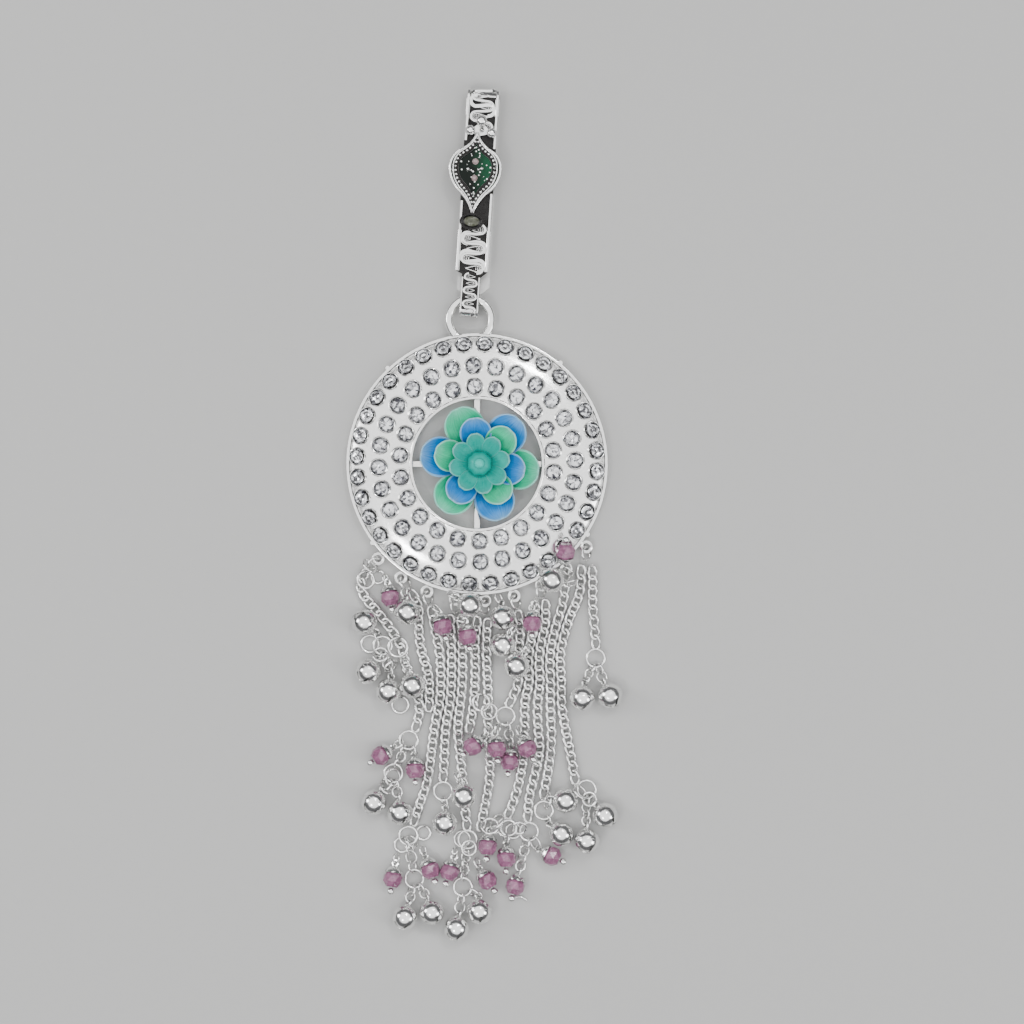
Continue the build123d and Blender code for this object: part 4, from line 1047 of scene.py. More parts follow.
class BROOCH_OT_finishes(bpy.types.Operator):
    """Make every finish and give the kept CAD nodes theirs."""

    bl_idname = "brooch.finishes"
    bl_label = "Finishes"

    def execute(self, context):
        silver = context.scene.brooch_silver
        stones = context.scene.brooch_stones
        flower = context.scene.brooch_flower
        silver_finish("bright_silver", silver, mottle=0.55)
        silver_finish("chain_silver", silver, dulling=0.03)
        silver_finish("scroll_silver", silver)
        crystal_finish("cut_crystal")
        foil_finish("crystal_foil", stones.foil)
        glass_finish("pink_bead_glass", context.scene.brooch_fringe.glass)
        petal_finish("green_petal", flower.green, flower.edge)
        petal_finish("blue_petal", flower.blue, flower.edge)
        petal_finish("teal_cup", flower.teal, stir(flower.teal, 0.5, flower.edge, 0.5))
        bud_finish("teal_bud", flower.teal, flower.edge)
        kept = {
            # The strip's finish also paints a dark reflection on its back arm
            "clip_strip": silver_finish("strip_silver", silver, STRIP_OXIDE_AND_REFLECTION_BANDS),
            "clip_plaque": silver_finish("plaque_silver", silver, PLAQUE_BANDS),
            "plaque_enamel": enamel_finish("green_enamel", stones.enamel),
            "plaque_stones": stone_finish("rose_stone", stones.rose, 1.6, ROSE_EDGE),
            "cabochon_stone": stone_finish("olive_stone", stones.olive, 0.9, OLIVE_EDGE),
        }
        for node, finish in kept.items():
            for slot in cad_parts[node].material_slots:
                slot.material = finish
        return {"FINISHED"}


# Medallion


def collar_pattern():
    """Rounded collar round one stone, its foot in the plate."""
    inner = POCKET_R
    outer = POCKET_R + COLLAR_W
    points = [
        (inner, -0.30), (inner, 0.18), (inner + 0.04, 0.27), (inner + 0.12, 0.30),
        (inner + 0.20, 0.24), (outer - 0.05, 0.08), (outer + 0.05, -0.10), (inner, -0.30),
    ]
    return lathe(points, 18)


def plate_profile():
    """Closed outline of the domed plate, its rims rounded over."""
    inner, outer = HOLE_R + INNER_RIM_W, PLATE_R - RIM_W
    groove = outer - GROOVE_W
    dome = [inner + (groove - inner) * step / 16 for step in range(17)]
    points = [
        (HOLE_R, 0.0), (HOLE_R, INNER_RIM_H - 0.3), (HOLE_R + 0.12, INNER_RIM_H - 0.08),
        (HOLE_R + 0.35, INNER_RIM_H), (inner - 0.12, INNER_RIM_H - 0.12),
    ]
    points += [(radius, dome_z(radius)) for radius in dome]
    points += [
        (groove + 0.08, GROOVE_H), (outer - 0.08, GROOVE_H), (outer, RIM_H - 0.25),
        (outer + 0.14, RIM_H - 0.06), (outer + 0.4, RIM_H), (PLATE_R - 0.12, RIM_H - 0.10),
        (PLATE_R, RIM_H - 0.35), (PLATE_R, 0.15), (PLATE_R - 0.15, 0.0), (outer, 0.0),
    ]
    points += [(outer, dome_z(groove) - SHELL)]
    points += [(radius, dome_z(radius) - SHELL) for radius in reversed(dome)]
    points += [(inner, 0.0), (HOLE_R, 0.0)]
    return points


def hanging_ring():
    """Soldered ring with a fine groove along its crown."""
    steps, crown, groove = 20, 5, 0.88
    points = []
    for step in range(steps + 1):
        wire_r = HANG_WIRE_R * (groove if step == crown else 1.0)
        points.append(polar(wire_r, 360.0 * step / steps, HANG_R))
    ring = lathe(points, 64)
    ring.data.transform(Matrix.Translation((HANG_X, HANG_Y, HANG_Z)))
    cut_away(ring, start("cylinder", vertices=180, radius=PLATE_R - 0.2, depth=12.0))
    return ring


def eyelet():
    """Small cast eyelet with its neck, reaching from the rim along X."""
    ring = start(
        "torus", major_radius=EYELET_R, minor_radius=EYELET_WIRE_R, major_segments=20,
        minor_segments=8, location=(EYELET_PITCH_R, 0, EYELET_Z),
    )
    foot, end = PLATE_R - RIM_W / 2, EYELET_PITCH_R - EYELET_R
    neck = start(
        "cylinder", vertices=10, radius=EYELET_WIRE_R * 1.3, depth=end - foot,
        end_fill_type="NOTHING", location=((foot + end) / 2, 0, EYELET_Z),
        rotation=(0, pi / 2, 0),
    )
    reshape(neck, lambda spot: spot.x < PLATE_R, (1, 1.7, 1.5), (0, 0, EYELET_Z))
    return join([ring, neck])


def hub_and_spokes():
    """Stepped hub and cross that carry the flower."""
    hub = lathe([
        (0.0, 0.0), (HUB_R - 0.2, 0.0), (HUB_R, 0.2), (HUB_R, HUB_H - 0.4),
        (HUB_R - 0.4, HUB_H), (0.0, HUB_H),
    ], 40)
    hub.data.transform(Matrix.Translation((FLOWER_X, 0, 0)))
    reach = HOLE_R + INNER_RIM_W / 2
    bar = start("cube", size=1.0)
    pick(bar, "VERT", all_of)
    bpy.ops.transform.resize(value=(reach, SPOKE_W, SPOKE_T))
    bpy.ops.transform.translate(value=(reach / 2, 0, SPOKE_Z + SPOKE_T / 2))
    pick(bar, "EDGE", lambda spot: abs(spot.x - reach / 2) < 0.1)
    bpy.ops.mesh.bevel(offset=0.3, segments=2)
    bpy.ops.object.mode_set(mode="OBJECT")
    return join([hub, copies(bar, [turned(angle) for angle in (0, 90, 180, 270)])])


class BROOCH_OT_medallion(bpy.types.Operator):
    """Turn the domed plate, cut its pockets and solder on collars, ring and eyelets."""

    bl_idname = "brooch.medallion"
    bl_label = "Medallion"

    def execute(self, context):
        plate = lathe(plate_profile(), 180)
        places = [place for row in STONE_ROWS for place in stone_places(*row[1:])]
        drill = start(
            "cylinder", vertices=18, radius=POCKET_R, depth=POCKET_DEPTH + 1.0,
            location=(0, 0, 0.5 - POCKET_DEPTH / 2),
        )
        cut_away(plate, copies(drill, places))
        collars = copies(collar_pattern(), places)
        headings = [EYELET_FIRST + index * EYELET_STEP for index in range(len(JUMP_HEADINGS))]
        eyelets = copies(eyelet(), [turned(heading) for heading in headings])
        nub = lathe([
            (0.0, 0.0), (NUB_R, 0.0), (NUB_R, RIM_H - 0.3), (NUB_R * 0.7, RIM_H - 0.05),
            (0.0, RIM_H),
        ], 14)
        spots = [Matrix.Translation((*polar(PLATE_R, angle), 0)) for angle in NUB_ANGLES]
        nubs = copies(nub, spots)
        body = join([plate, collars, hanging_ring(), eyelets, nubs, hub_and_spokes()])
        settle(body, "medallion_silver", ["bright_silver"], "medallion_frame", "hanging_ring")
        return {"FINISHED"}


class BROOCH_OT_crystals(bpy.types.Operator):
    """Cut one crystal and its foil, and set the three rows."""

    bl_idname = "brooch.crystals"
    bl_label = "Crystals"

    # Height of the straight girdle, the foil's rim, and its star as share of the rim and height
    GIRDLE_H = 0.45
    FOIL_SHARE = 0.95
    FOIL_RIM_Z = -0.22
    FOIL_STAR = ((0.66, -0.37), (0.36, -0.24), (0.02, -0.31))

    def execute(self, context):
        stones = context.scene.brooch_stones
        for node, count, radius, first in STONE_ROWS:
            places = stone_places(count, radius, first)
            glass = copies(self.cut_stone(stones), places)
            foil = copies(self.foil_cup(stones), places)
            body = join([glass, foil])
            settle(body, node + "_cut", [], node, slot="clear_crystal", angle=1.0)
        return {"FINISHED"}

    def cut_stone(self, stones):
        """Flat-backed stone: girdle, two bands of crown facets and the table."""
        sides = 16
        base = SEAT_GAP - POCKET_DEPTH
        girdle_z = base + self.GIRDLE_H
        table_z = girdle_z + stones.crown
        middle = 0.5 * (stones.girdle + stones.table) + 0.08
        stone = start(
            "circle", vertices=sides, radius=stones.girdle, fill_type="NGON",
            location=(0, 0, base),
        )
        pick(stone, "VERT", all_of)
        bpy.ops.mesh.extrude_region_move(TRANSFORM_OT_translate={"value": (0, 0, self.GIRDLE_H)})
        crown = ((middle, girdle_z + 0.45 * stones.crown), (stones.table, table_z))
        grow(stones.girdle, girdle_z, crown, pi / sides)
        facet(stone, lambda spot: girdle_z + 0.01 < spot.z < table_z - 0.02)
        close_up(stone)
        stone.data.materials.append(bpy.data.materials["cut_crystal"])
        return stone

    def foil_cup(self, stones):
        """Star of mirror facets that shows through the stone."""
        sides = 14
        rim_r = stones.girdle * self.FOIL_SHARE
        foil = start("circle", vertices=sides, radius=rim_r, location=(0, 0, self.FOIL_RIM_Z))
        pick(foil, "VERT", all_of)
        star = [(share * rim_r, height) for share, height in self.FOIL_STAR]
        grow(rim_r, self.FOIL_RIM_Z, star, pi / sides)
        facet(foil, all_of)
        bpy.ops.mesh.normals_make_consistent(inside=False)
        bpy.ops.object.mode_set(mode="OBJECT")
        foil.data.materials.append(bpy.data.materials["crystal_foil"])
        return foil


# Flower


class BROOCH_OT_flower(bpy.types.Operator):
    """Shape the petals, the inner cup and the bud."""

    bl_idname = "brooch.flower"
    bl_label = "Flower"

    # Rows of one petal from its foot to its tip: reach, half width, height
    OUTER_ROWS = (
        (2.6, 1.6, 0.55), (4.6, 3.1, 0.65), (6.8, 4.4, 0.85), (8.9, 4.95, 1.15), (10.8, 4.65, 1.5),
        (12.3, 3.7, 1.9), (13.3, 2.45, 2.25), (13.8, 1.1, 2.5),
    )
    MIDDLE_ROWS = (
        (2.2, 1.3, 0.5), (3.7, 2.5, 0.7), (5.3, 3.5, 1.05), (6.9, 3.95, 1.5), (8.4, 3.7, 2.05),
        (9.6, 2.85, 2.6), (10.3, 1.85, 3.05), (10.65, 0.85, 3.35),
    )
    CUP_ROWS = (
        (1.4, 0.8, 0.35), (2.4, 1.4, 0.5), (3.5, 2.0, 0.85), (4.6, 2.35, 1.4), (5.6, 2.25, 2.1),
        (6.4, 1.75, 2.75), (6.9, 1.1, 3.25), (7.1, 0.5, 3.5),
    )
    # Layers: node, rows, lift of the rolled edges, angles, height of the foot, finishes, slot
    LAYERS = (
        ("flower_outer_petals", OUTER_ROWS, 1.05, OUTER_ANGLES, 2.4,
         ("green_petal", "blue_petal"), "petal_resin"),
        ("flower_middle_petals", MIDDLE_ROWS, 0.9, MIDDLE_ANGLES, 3.4,
         ("blue_petal", "green_petal"), "petal_resin"),
        ("flower_inner_cup", CUP_ROWS, 0.5, CUP_ANGLES, 4.3, ("teal_cup",), "teal_resin"),
    )
    # Every second petal of a layer stands this much higher
    STAGGER = 0.06
    # How far a petal's placed rows are kept from those still to place
    ASIDE = 20.0
    BUD_PROFILE = (
        (0.0, 4.95), (0.9, 4.95), (0.9, 5.7), (2.55, 5.85), (2.9, 6.1), (2.88, 6.7), (2.6, 7.3),
        (2.1, 7.85), (1.45, 8.2), (1.15, 8.35), (1.2, 8.75), (1.05, 9.15), (0.65, 9.5),
        (0.0, 9.62),
    )

    def execute(self, context):
        for node, rows, lift, angles, foot, finishes, slot in self.LAYERS:
            body = self.layer(rows, lift, angles, foot, finishes)
            wall = context.scene.brooch_flower.wall
            apply_modifier(body, "SOLIDIFY", thickness=wall, offset=1.0)
            apply_modifier(body, "SUBSURF", levels=2, render_levels=2)
            settle(body, node + "_resin", [], node, slot=slot, angle=60.0)
        self.bud()
        return {"FINISHED"}

    def layer(self, rows, lift, angles, foot, finishes):
        """Petals of one layer turned to their angles, their finishes taking turns."""
        pattern = self.petal(rows, lift)
        petals = []
        for index, angle in enumerate(angles):
            height = foot + self.STAGGER * (index % 2)
            place = Matrix.Translation((FLOWER_X, 0, height)) @ turned(angle)
            petal = copy_of(pattern, place)
            petal.data.materials.append(bpy.data.materials[finishes[index % len(finishes)]])
            petals.append(petal)
        bpy.data.objects.remove(pattern)
        return join(petals)

    def petal(self, rows, lift):
        """Spoon-shaped petal that reaches along X, its edges rolled up."""
        columns = 8
        petal = start("grid", x_subdivisions=columns, y_subdivisions=len(rows) - 1, size=2.0)
        petal.data.transform(turned(-90))
        for column in range(columns + 1):
            across = 2 * column / columns - 1
            rise = lift * (0.35 * across**2 + 0.65 * across**4)
            pick(petal, "VERT", lambda spot: abs(spot.y - across) < 0.01)
            bpy.ops.transform.translate(value=(0, 0, rise))
        widest = max(half for _, half, _ in rows)
        for index, (reach, half, height) in enumerate(rows):
            level = -1 + 2 * index / (len(rows) - 1)
            pick(petal, "VERT", lambda spot: abs(spot.x - level) < 0.01)
            bpy.ops.transform.resize(value=(1, half, half / widest), center_override=(level, 0, 0))
            bpy.ops.transform.translate(value=(self.ASIDE + reach - level, 0, height))
        pick(petal, "VERT", all_of)
        bpy.ops.transform.translate(value=(-self.ASIDE, 0, 0))
        bpy.ops.object.mode_set(mode="OBJECT")
        return petal

    def bud(self):
        """Fluted bud on its stem with the knob on top."""
        bud = lathe(self.BUD_PROFILE, TURNED_STEPS)
        reshape(bud, lambda spot: in_flute(spot, 5.9, 8.1), (0.9, 0.9, 1.0))
        bud.data.transform(Matrix.Translation((FLOWER_X, 0, 0)))
        apply_modifier(bud, "SUBSURF", levels=1, render_levels=1)
        settle(bud, "flower_bud", ["teal_bud"], "flower_centre", slot="teal_resin", angle=60.0)


# Clip


class BROOCH_OT_clip(bpy.types.Operator):
    """Lay the rounded scrolls, hatched drops and borders on the spring clip."""

    bl_idname = "brooch.clip"
    bl_label = "Clip"

    # Runs of scrolls: start, number of bulbs, reach, bulb radius, pitch
    ARM_RUNS = ((5.9, 5, 1.45, 1.2, 4.5), (38.2, 5, 1.45, 1.2, 4.8))
    TONGUE_RUN = (-3.3, 6, 0.72, 0.78, 3.1)
    TONGUE_SHIFT = -0.1
    # Wires: radius and height above the arm's face
    SCROLL_LIFT = 0.16
    ARM_SCROLL_R, TONGUE_SCROLL_R = 0.42, 0.32
    ARM_BORDER, TONGUE_BORDER = (0.38, 0.2), (0.2, 0.04)
    # Borders: distance from the middle line, lowest and highest place, steps
    ARM_EDGES = (
        (-3.3, 6.6, 22.4, 16), (-3.3, 36.2, 48.4, 16), (3.3, 6.6, 24.3, 16), (3.3, 34.6, 48.4, 16),
    )
    TONGUE_EDGES = ((-1.9, -4.4, 5.1, 19), (1.9, -4.4, 5.1, 19))
    # Teardrop in a bulb: its outline, and its bars as place across and length
    DROP = (
        (-2.9, 0.0), (-1.9, 0.3), (-0.9, 0.55), (-0.1, 0.72), (0.6, 0.5), (0.8, 0.0),
        (0.6, -0.5), (-0.1, -0.72), (-0.9, -0.55), (-1.9, -0.3), (-2.9, 0.0),
    )
    BARS = ((-0.5, 0.7), (-0.05, 1.1), (0.4, 0.8))

    def execute(self, context):
        parts = []
        for run in self.ARM_RUNS:
            parts += self.scrolls(run, 0.0, self.ARM_SCROLL_R, 1.0)
        parts += self.borders(self.ARM_EDGES, 0.0, *self.ARM_BORDER)
        parts += self.scrolls(self.TONGUE_RUN, self.TONGUE_SHIFT, self.TONGUE_SCROLL_R, 0.6)
        parts += self.borders(self.TONGUE_EDGES, self.TONGUE_SHIFT, *self.TONGUE_BORDER)
        body = join(parts)
        self.wrap(body)
        body.data.transform(clip_place())
        settle(body, "clip_scrolls", ["scroll_silver"], body=CLIP, angle=50.0)
        return {"FINISHED"}

    def borders(self, edges, shift, radius, lift):
        """Plain wires along the sides."""
        return [
            wire_along(straight(shift + u, low, high, steps), CLIP_TOP + lift, radius, order=3)
            for u, low, high, steps in edges
        ]

    def scrolls(self, run, shift, wire, size):
        """Serpentine wire of one run, with a hatched drop in each bulb."""
        start_v, count, reach, round_r, pitch = run
        points, places = [], []
        for index in range(count):
            side = 1 if index % 2 == 0 else -1
            v = start_v + round_r + index * pitch / 2
            for angle in (-105, -55, 0, 55, 105):
                u, rise = polar(round_r, angle, reach)
                points.append((side * u + shift, v + rise))
            spot = Matrix.Translation((side * reach * 0.95 + shift, v, CLIP_TOP))
            places.append(spot @ turned(0 if side > 0 else 180))
        line = wire_along(points, CLIP_TOP + self.SCROLL_LIFT, wire)
        return [line, copies(self.hatched_drop(size), places)]

    def wrap(self, piece):
        """Bend what lies past the flat of the arm round the curl below and the bend above."""
        crown = CLIP_TOP - STRIP_T / 2
        for vertex in piece.data.vertices:
            for edge, bend_r, way in ((CURL_V, CURL_R, -1), (BEND_V, BEND_R, 1)):
                past = way * (vertex.co.y - edge)
                if past > 0:
                    reach = bend_r + vertex.co.z - crown
                    vertex.co.y = edge + way * reach * sin(past / bend_r)
                    vertex.co.z = crown - bend_r + reach * cos(past / bend_r)

    def hatched_drop(self, size):
        """Teardrop of wire that points inwards, with three upright bars in its bulb."""
        bars = []
        for across, length in self.BARS:
            middle = across * size
            bar = start(
                "cylinder", vertices=8, radius=0.15 * size, depth=length * size,
                location=(middle, 0, 0.12 * size), rotation=(pi / 2, 0, 0),
            )
            ends = 0.4 * length * size
            reshape(bar, lambda spot: abs(spot.y) > ends, (0.5, 1, 0.5), (middle, 0, 0))
            bars.append(bar)
        line = [(u * size, v * size) for u, v in self.DROP]
        return join(bars + [wire_along(line, 0.1 * size, 0.13 * size, order=3)])


def ogee_quarter(half_w, half_h):
    """Points of a pointed oval's quarter: a round side, then a hollow run to the tip."""
    steps = 12
    turn = Vector((0.58 * half_w, 0.505 * half_h))
    back = (half_w**2 - turn.length_squared) / (2 * (turn.x - half_w))
    end = atan2(turn.y, turn.x + back)
    outward = Vector((cos(end), sin(end)))
    chord = Vector((0, half_h)) - turn
    hollow_r = chord.length_squared / (2 * chord.dot(outward))
    middle = turn + outward * hollow_r
    tip = Vector((0, half_h)) - middle
    stop = atan2(tip.y, tip.x) % (2 * pi)
    side_r = half_w + back
    points = []
    for step in range(steps + 1):
        angle = end * step / steps
        points.append(Vector((side_r * cos(angle) - back, side_r * sin(angle))))
    for step in range(1, steps + 1):
        angle = end + pi + (stop - end - pi) * step / steps
        points.append(middle + hollow_r * Vector((cos(angle), sin(angle))))
    return points


def ogee_outline(half_w, half_h):
    """Closed line round the plaque, whose widest line is nearer its upper point."""
    upper = ogee_quarter(half_w, half_h * (1 - PLAQUE_LEAN))
    lower = ogee_quarter(half_w, half_h * (1 + PLAQUE_LEAN))
    right = [(spot.x, -spot.y) for spot in reversed(lower)]
    right += [(spot.x, spot.y) for spot in upper[1:]]
    return right + [(-u, v) for u, v in reversed(right[:-1])]


def spaced(points, space):
    """Points at equal steps along a line, its ends among them."""
    lengths = lengths_along(points)
    count = int(lengths[-1] / space)
    return [spot_at(points, lengths, lengths[-1] * step / count)[0] for step in range(count + 1)]


class BROOCH_OT_plaque(bpy.types.Operator):
    """Set the rolled rims and the small silver balls on the plaque."""

    bl_idname = "brooch.plaque"
    bl_label = "Plaque"

    # Balls on the enamel: u and v from the plaque's middle, radius
    BALLS = (
        (-1.6, -0.5, 0.42), (1.5, -0.2, 0.42), (-0.8, -0.7, 0.28), (0.8, -0.5, 0.28),
        (0.0, 3.6, 0.3), (0.0, -4.7, 0.3), (-0.9, 2.6, 0.24), (0.9, 2.6, 0.24),
        (-0.9, -3.9, 0.24), (0.9, -3.9, 0.24), (0.0, 4.5, 0.22), (0.0, -5.7, 0.24),
        (0.0, -6.6, 0.2),
    )
    # Row of balls round the rim: half width and height of its line, spacing, height, radius
    ROW = (4.47, 7.74, 0.86, PLAQUE_TOP + 0.05, 0.35)
    # Rolled rims: half width, half height, height above the floor, wire radius
    RIMS = ((5.76, 9.15, PLAQUE_BAND_TOP, 0.4), (5.0, 8.85, PLAQUE_TOP, 0.17))

    def execute(self, context):
        parts = [self.ball(u, v, ENAMEL_TOP + 0.3 * radius, radius) for u, v, radius in self.BALLS]
        half_w, half_h, space, z, radius = self.ROW
        for up in (1, -1):
            for spot in spaced(ogee_quarter(half_w, half_h * (1 - up * PLAQUE_LEAN)), space):
                parts += [self.ball(side * spot.x, up * spot.y, z, radius) for side in (1, -1)]
        for half_w, half_h, z, wire in self.RIMS:
            rim = wire_along(ogee_outline(half_w, half_h), z, wire, order=3)
            rim.data.transform(clip_place(PLAQUE_U, PLAQUE_V))
            parts.append(rim)
        settle(join(parts), "plaque_trim", ["bright_silver"], body=CLIP, angle=60.0)
        return {"FINISHED"}

    def ball(self, u, v, z, radius):
        """Small ball with a spread foot."""
        ball = start("uv_sphere", segments=10, ring_count=6, radius=radius)
        reshape(ball, lambda spot: spot.z < -0.3 * radius, (1.25, 1.25, 0.5))
        ball.data.transform(clip_place(PLAQUE_U + u, PLAQUE_V + v, z))
        return ball


# Fringe


class BROOCH_OT_rings(bpy.types.Operator):
    """Bend the jump rings, gather rings and linking rings, each with its cut."""

    bl_idname = "brooch.rings"
    bl_label = "Rings"

    def execute(self, context):
        bent = {}
        for node, rings in fringe_rings().items():
            made = []
            for place, radius, wire in rings:
                size = (round(radius, 2), wire)
                if size not in bent:
                    bent[size] = self.bend(*size)
                made.append(copy_of(bent[size], place))
            settle(join(made), node + "_wire", ["chain_silver"], node, angle=120.0)
        for pattern in bent.values():
            bpy.data.objects.remove(pattern)
        spare = [wire_along(STRAY_WIRE, STRAY_Z, LINK_WIRE_R)]
        for x, y, z, lean, heading, radius in LOOSE_RINGS:
            ring = self.bend(radius, GATHER_WIRE_R)
            turn = turned(heading) @ turned(lean, "X")
            ring.data.transform(Matrix.Translation((x, y, z)) @ turn)
            spare.append(ring)
        settle(join(spare), "spare_rings", ["chain_silver"], angle=120.0)
        return {"FINISHED"}

    def bend(self, radius, wire):
        """Ring of round wire, its two cut ends side by side."""
        steps = 18
        ring = start(
            "torus", major_radius=radius, minor_radius=wire, major_segments=steps,
            minor_segments=6,
        )
        pick(ring, "FACE", lambda spot: spot.y > radius * 0.97 and abs(spot.x) < radius * 0.12)
        bpy.ops.mesh.delete(type="FACE")
        edge_x = radius * sin(pi / steps)
        pick(ring, "VERT", lambda spot: spot.y > 0 and 0 < spot.x < edge_x * 1.5)
        bpy.ops.transform.translate(value=(-edge_x * 0.8, 0, 0))
        pick(ring, "VERT", lambda spot: spot.y > 0 and -edge_x * 1.5 < spot.x < -edge_x * 0.5)
        bpy.ops.transform.translate(value=(edge_x * 0.8, 0, 0))
        bpy.ops.mesh.select_all(action="DESELECT")
        bpy.ops.mesh.select_mode(type="EDGE")
        bpy.ops.mesh.select_non_manifold()
        bpy.ops.mesh.fill()
        bpy.ops.object.mode_set(mode="OBJECT")
        return ring


def route_line(points, z):
    """Closely spaced points along the smooth line of a route."""
    holder = nurbs(points, z, 3, 16)
    mesh = bpy.data.meshes.new_from_object(holder)
    spots = [vertex.co.copy() for vertex in mesh.vertices]
    bpy.data.objects.remove(holder)
    bpy.data.meshes.remove(mesh)
    return spots


def steps_along(spots, pitch):
    """Middles and headings of equal steps along a line of points."""
    lengths = lengths_along(spots)
    count = round(lengths[-1] / pitch)
    pace = lengths[-1] / count
    return [spot_at(spots, lengths, (index + 0.5) * pace) for index in range(count)]


class BROOCH_OT_chains(bpy.types.Operator):
    """Link the thirteen curb chains along their routes."""

    bl_idname = "brooch.chains"
    bl_label = "Chains"

    LINK_HALF_W = 0.9
    CHAIN_Z = 1.0

    def execute(self, context):
        fringe = context.scene.brooch_fringe
        pattern = self.curb_link(fringe)
        for number, (node, points) in enumerate(STRANDS.items()):
            places = []
            steps = steps_along(route_line(points, self.CHAIN_Z), fringe.pitch)
            for index, (spot, heading) in enumerate(steps):
                roll = Matrix.Rotation(0.22 * sin(0.9 * index + 1.7 * number), 4, "X")
                places.append(aimed(spot, (0, 0, 1), heading) @ roll)
            links = copies(pattern, places, keep=True)
            settle(links, node + "_links", ["chain_silver"], node, angle=120.0)
        bpy.data.objects.remove(pattern)
        return {"FINISHED"}

    def curb_link(self, fringe):
        """Oval link along X with its two ends turned opposite ways."""
        wire = fringe.link_wire
        link = start(
            "torus", major_radius=self.LINK_HALF_W, minor_radius=wire, major_segments=16,
            minor_segments=6,
        )
        stretch = fringe.pitch / 2 + 1.2 * wire - self.LINK_HALF_W
        for side in (-1, 1):
            pick(link, "VERT", lambda spot: spot.x * side > 0.1)
            bpy.ops.transform.translate(value=(side * stretch, 0, 0))
            pick(link, "VERT", lambda spot: spot.x * side > 0.1)
            bpy.ops.transform.rotate(
                value=side * fringe.link_twist, orient_axis="X", center_override=(0, 0, 0)
            )
        bpy.ops.object.mode_set(mode="OBJECT")
        return link


def drop_loop(radius, wire, below, sides):
    """Upright loop that a drop hangs by."""
    return start(
        "torus", major_radius=radius, minor_radius=wire, major_segments=16,
        minor_segments=sides, location=(0, 0, -below), rotation=(pi / 2, 0, 0),
    )


class BROOCH_OT_bells(bpy.types.Operator):
    """Make one little bell and hang all of them."""

    bl_idname = "brooch.bells"
    bl_label = "Bells"

    # Room for the belt, and the heights from which the mouth is marked out and open
    BELT = 0.1
    MOUTH_MARKED, MOUTH_OPEN = 1.3, 1.75
    NECK = ((0.0, -2.7), (0.85, -2.72), (0.7, -2.95), (0.45, -3.05), (0.0, -3.1))

    def execute(self, context):
        pattern = self.bell(context.scene.brooch_fringe.bell_wall)
        for node, rows in BELLS.items():
            bells = copies(pattern, [drop_place(row, BELL_LOOP_AT) for row in rows], keep=True)
            settle(bells, node + "_silver", ["bright_silver"], node, angle=45.0)
        bpy.data.objects.remove(pattern)
        return {"FINISHED"}

    def bell(self, wall):
        """Hollow ball with a belt, a crossed mouth on +Z and its loop on -Z."""
        half_slot = BELL_SLOT / 2
        bell = start("uv_sphere", segments=48, ring_count=28, radius=BELL_R - self.BELT)
        for plane in ((1, 0, 0), (0, 1, 0)):
            for side in (-half_slot, half_slot):
                pick(bell, "FACE", lambda spot: spot.z > self.MOUTH_MARKED)
                spot = tuple(side * part for part in plane)
                bpy.ops.mesh.bisect(plane_co=spot, plane_no=plane)
        pick(
            bell, "FACE",
            lambda spot: spot.z > self.MOUTH_OPEN and min(abs(spot.x), abs(spot.y)) < half_slot,
        )
        bpy.ops.mesh.delete(type="FACE")
        pick(bell, "EDGE", lambda spot: abs(spot.z) < 0.01)
        bpy.ops.mesh.bevel(offset=0.2, segments=1)
        pick(bell, "FACE", lambda spot: abs(spot.z) < 0.1)
        bpy.ops.mesh.extrude_region_shrink_fatten(TRANSFORM_OT_shrink_fatten={"value": 0.11})
        bpy.ops.object.mode_set(mode="OBJECT")
        apply_modifier(bell, "SOLIDIFY", thickness=wall, offset=-1.0)
        loop = drop_loop(BELL_LOOP_R, BELL_LOOP_WIRE_R, BELL_LOOP_AT, 8)
        return join([bell, lathe(self.NECK, 14), loop])


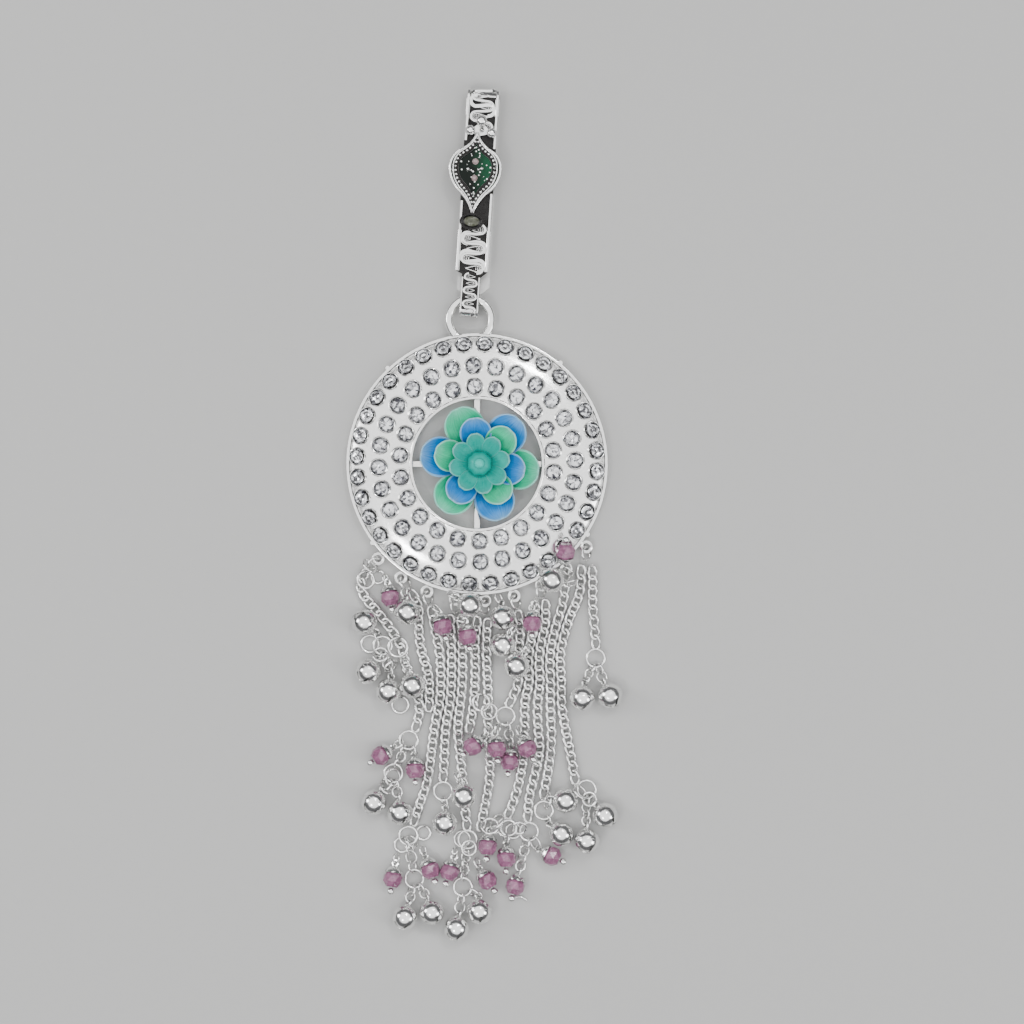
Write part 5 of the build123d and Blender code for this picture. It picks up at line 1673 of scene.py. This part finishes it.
class BROOCH_OT_beads(bpy.types.Operator):
    """Cut the glass beads and fit each with its cap and headpin."""

    bl_idname = "brooch.beads"
    bl_label = "Beads"

    PIN_LENGTH = 5.6
    CAP_PROFILE = (
        (0.0, -2.08), (1.25, -2.05), (1.8, -1.42), (1.92, -1.34), (2.03, -1.34), (2.05, -1.48),
        (1.95, -1.85), (1.65, -2.3), (1.2, -2.68), (0.8, -2.88), (0.45, -3.0), (0.0, -3.05),
    )

    def execute(self, context):
        glass = self.cut_bead()
        pin = self.cap_and_pin()
        for part, rows in BEADS.items():
            places = [drop_place(row, PIN_LOOP_AT) for row in rows]
            beads, node = copies(glass, places, keep=True), "beads_" + part
            settle(beads, node + "_glass", ["pink_bead_glass"], node, slot="pink_glass", angle=1.0)
            pins, node = copies(pin, places, keep=True), "bead_pins_" + part
            settle(pins, node + "_silver", ["bright_silver"], node)
        bpy.data.objects.remove(glass)
        bpy.data.objects.remove(pin)
        return {"FINISHED"}

    def cut_bead(self):
        """Bead of triangular facets between two flat ends."""
        sides = 8
        bead = start(
            "circle", vertices=sides, radius=BEAD_END_R, fill_type="NGON",
            location=(0, 0, -BEAD_HALF),
        )
        pick(bead, "VERT", all_of)
        rows = ((BEAD_R, -BEAD_BELT), (BEAD_R, BEAD_BELT), (BEAD_END_R, BEAD_HALF))
        grow(BEAD_END_R, -BEAD_HALF, rows, pi / sides)
        facet(bead, lambda spot: abs(spot.z) < BEAD_HALF - 0.05)
        return close_up(bead)

    def cap_and_pin(self):
        """Fluted dome cap with its loop, and the pin that ends in a ball."""
        cap = lathe(self.CAP_PROFILE, TURNED_STEPS)
        reshape(cap, self.in_cap_flute, (0.9, 0.9, 1.0))
        pin = start("cylinder", vertices=8, radius=PIN_R, depth=self.PIN_LENGTH)
        ball = start(
            "uv_sphere", segments=14, ring_count=10, radius=PIN_BALL_R,
            location=(0, 0, PIN_BALL_AT),
        )
        loop = drop_loop(PIN_LOOP_R, PIN_LOOP_WIRE_R, PIN_LOOP_AT, 6)
        return join([cap, pin, ball, loop])

    def in_cap_flute(self, spot):
        """Flutes of the cap's outside."""
        return in_flute(spot, -2.9, -1.4) and hypot(spot.x, spot.y) > 0.9


# Stage


class BROOCH_OT_stage(bpy.types.Operator):
    """Lay the plain floor, hang the lamps and set the camera straight above."""

    bl_idname = "brooch.stage"
    bl_label = "Stage"

    CENTRE = Vector((0.008, -0.011, 0.0))
    WORLD = (0.13, 0.13, 0.135, 1.0)
    SENSOR = 36.0
    # Lamps: name, place, width, share of the softbox's power
    LAMPS = (
        ("softbox", (0.0, 0.0, 0.95), 2.2, 1.0),
        ("left_strip", (-0.75, 0.15, 0.45), 0.3, 0.12),
        ("right_strip", (0.70, -0.25, 0.50), 0.3, 0.10),
        ("spark_one", (0.22, 0.42, 0.80), 0.05, 0.05),
        ("spark_two", (-0.30, -0.35, 0.80), 0.05, 0.05),
    )

    def execute(self, context):
        stage = context.scene.brooch_stage
        floor = start("plane", size=6.0)
        floor.name = "floor"
        floor.data.materials.append(floor_finish("pale_paper", stage.floor))
        for name, spot, width, share in self.LAMPS:
            bpy.ops.object.light_add(type="AREA", location=spot)
            lamp = context.object
            lamp.name = name
            lamp.data.shape = "DISK"
            lamp.data.size = width
            lamp.data.energy = stage.softbox_power * share
            aim = self.CENTRE - Vector(spot)
            lamp.rotation_euler = aim.to_track_quat("-Z", "Y").to_euler()
        world = bpy.data.worlds.new("studio")
        world.use_nodes = True
        world.node_tree.nodes["Background"].inputs[0].default_value = self.WORLD
        context.scene.world = world
        eye = (self.CENTRE.x, self.CENTRE.y, stage.camera_height)
        bpy.ops.object.camera_add(location=eye, rotation=(0, 0, 0))
        camera = context.object
        camera.name = "camera"
        camera.data.sensor_width = self.SENSOR
        camera.data.lens = self.SENSOR * stage.camera_height / stage.frame_width
        camera.data.clip_start = 0.01
        context.scene.camera = camera
        return {"FINISHED"}


OPERATORS = (
    BROOCH_OT_finishes,
    BROOCH_OT_medallion,
    BROOCH_OT_crystals,
    BROOCH_OT_flower,
    BROOCH_OT_clip,
    BROOCH_OT_plaque,
    BROOCH_OT_rings,
    BROOCH_OT_chains,
    BROOCH_OT_bells,
    BROOCH_OT_beads,
    BROOCH_OT_stage,
)


class BROOCH_PT_panel(bpy.types.Panel):
    """Sizes, colours and steps of the brooch."""

    bl_idname = "BROOCH_PT_panel"
    bl_label = "Hair bun brooch"
    bl_space_type = "VIEW_3D"
    bl_region_type = "UI"
    bl_category = "Brooch"

    def draw(self, context):
        for name, group in SETTINGS.items():
            box = self.layout.box()
            box.label(text=group.__doc__)
            for field in group.__annotations__:
                box.prop(getattr(context.scene, name), field)
        for operator in OPERATORS:
            self.layout.operator(operator.bl_idname)


def register():
    for name, group in SETTINGS.items():
        bpy.utils.register_class(group)
        setattr(bpy.types.Scene, name, bpy.props.PointerProperty(type=group))
    for operator in OPERATORS:
        bpy.utils.register_class(operator)
    bpy.utils.register_class(BROOCH_PT_panel)


def unregister():
    bpy.utils.unregister_class(BROOCH_PT_panel)
    for operator in reversed(OPERATORS):
        bpy.utils.unregister_class(operator)
    for name, group in reversed(SETTINGS.items()):
        delattr(bpy.types.Scene, name)
        bpy.utils.unregister_class(group)


def main():
    register()
    bpy.ops.brooch.finishes()
    bpy.ops.brooch.medallion()
    bpy.ops.brooch.crystals()
    bpy.ops.brooch.flower()
    bpy.ops.brooch.clip()
    bpy.ops.brooch.plaque()
    bpy.ops.brooch.rings()
    bpy.ops.brooch.chains()
    bpy.ops.brooch.bells()
    bpy.ops.brooch.beads()
    bpy.ops.brooch.stage()
    deselect()


if __name__ == "__main__":
    main()
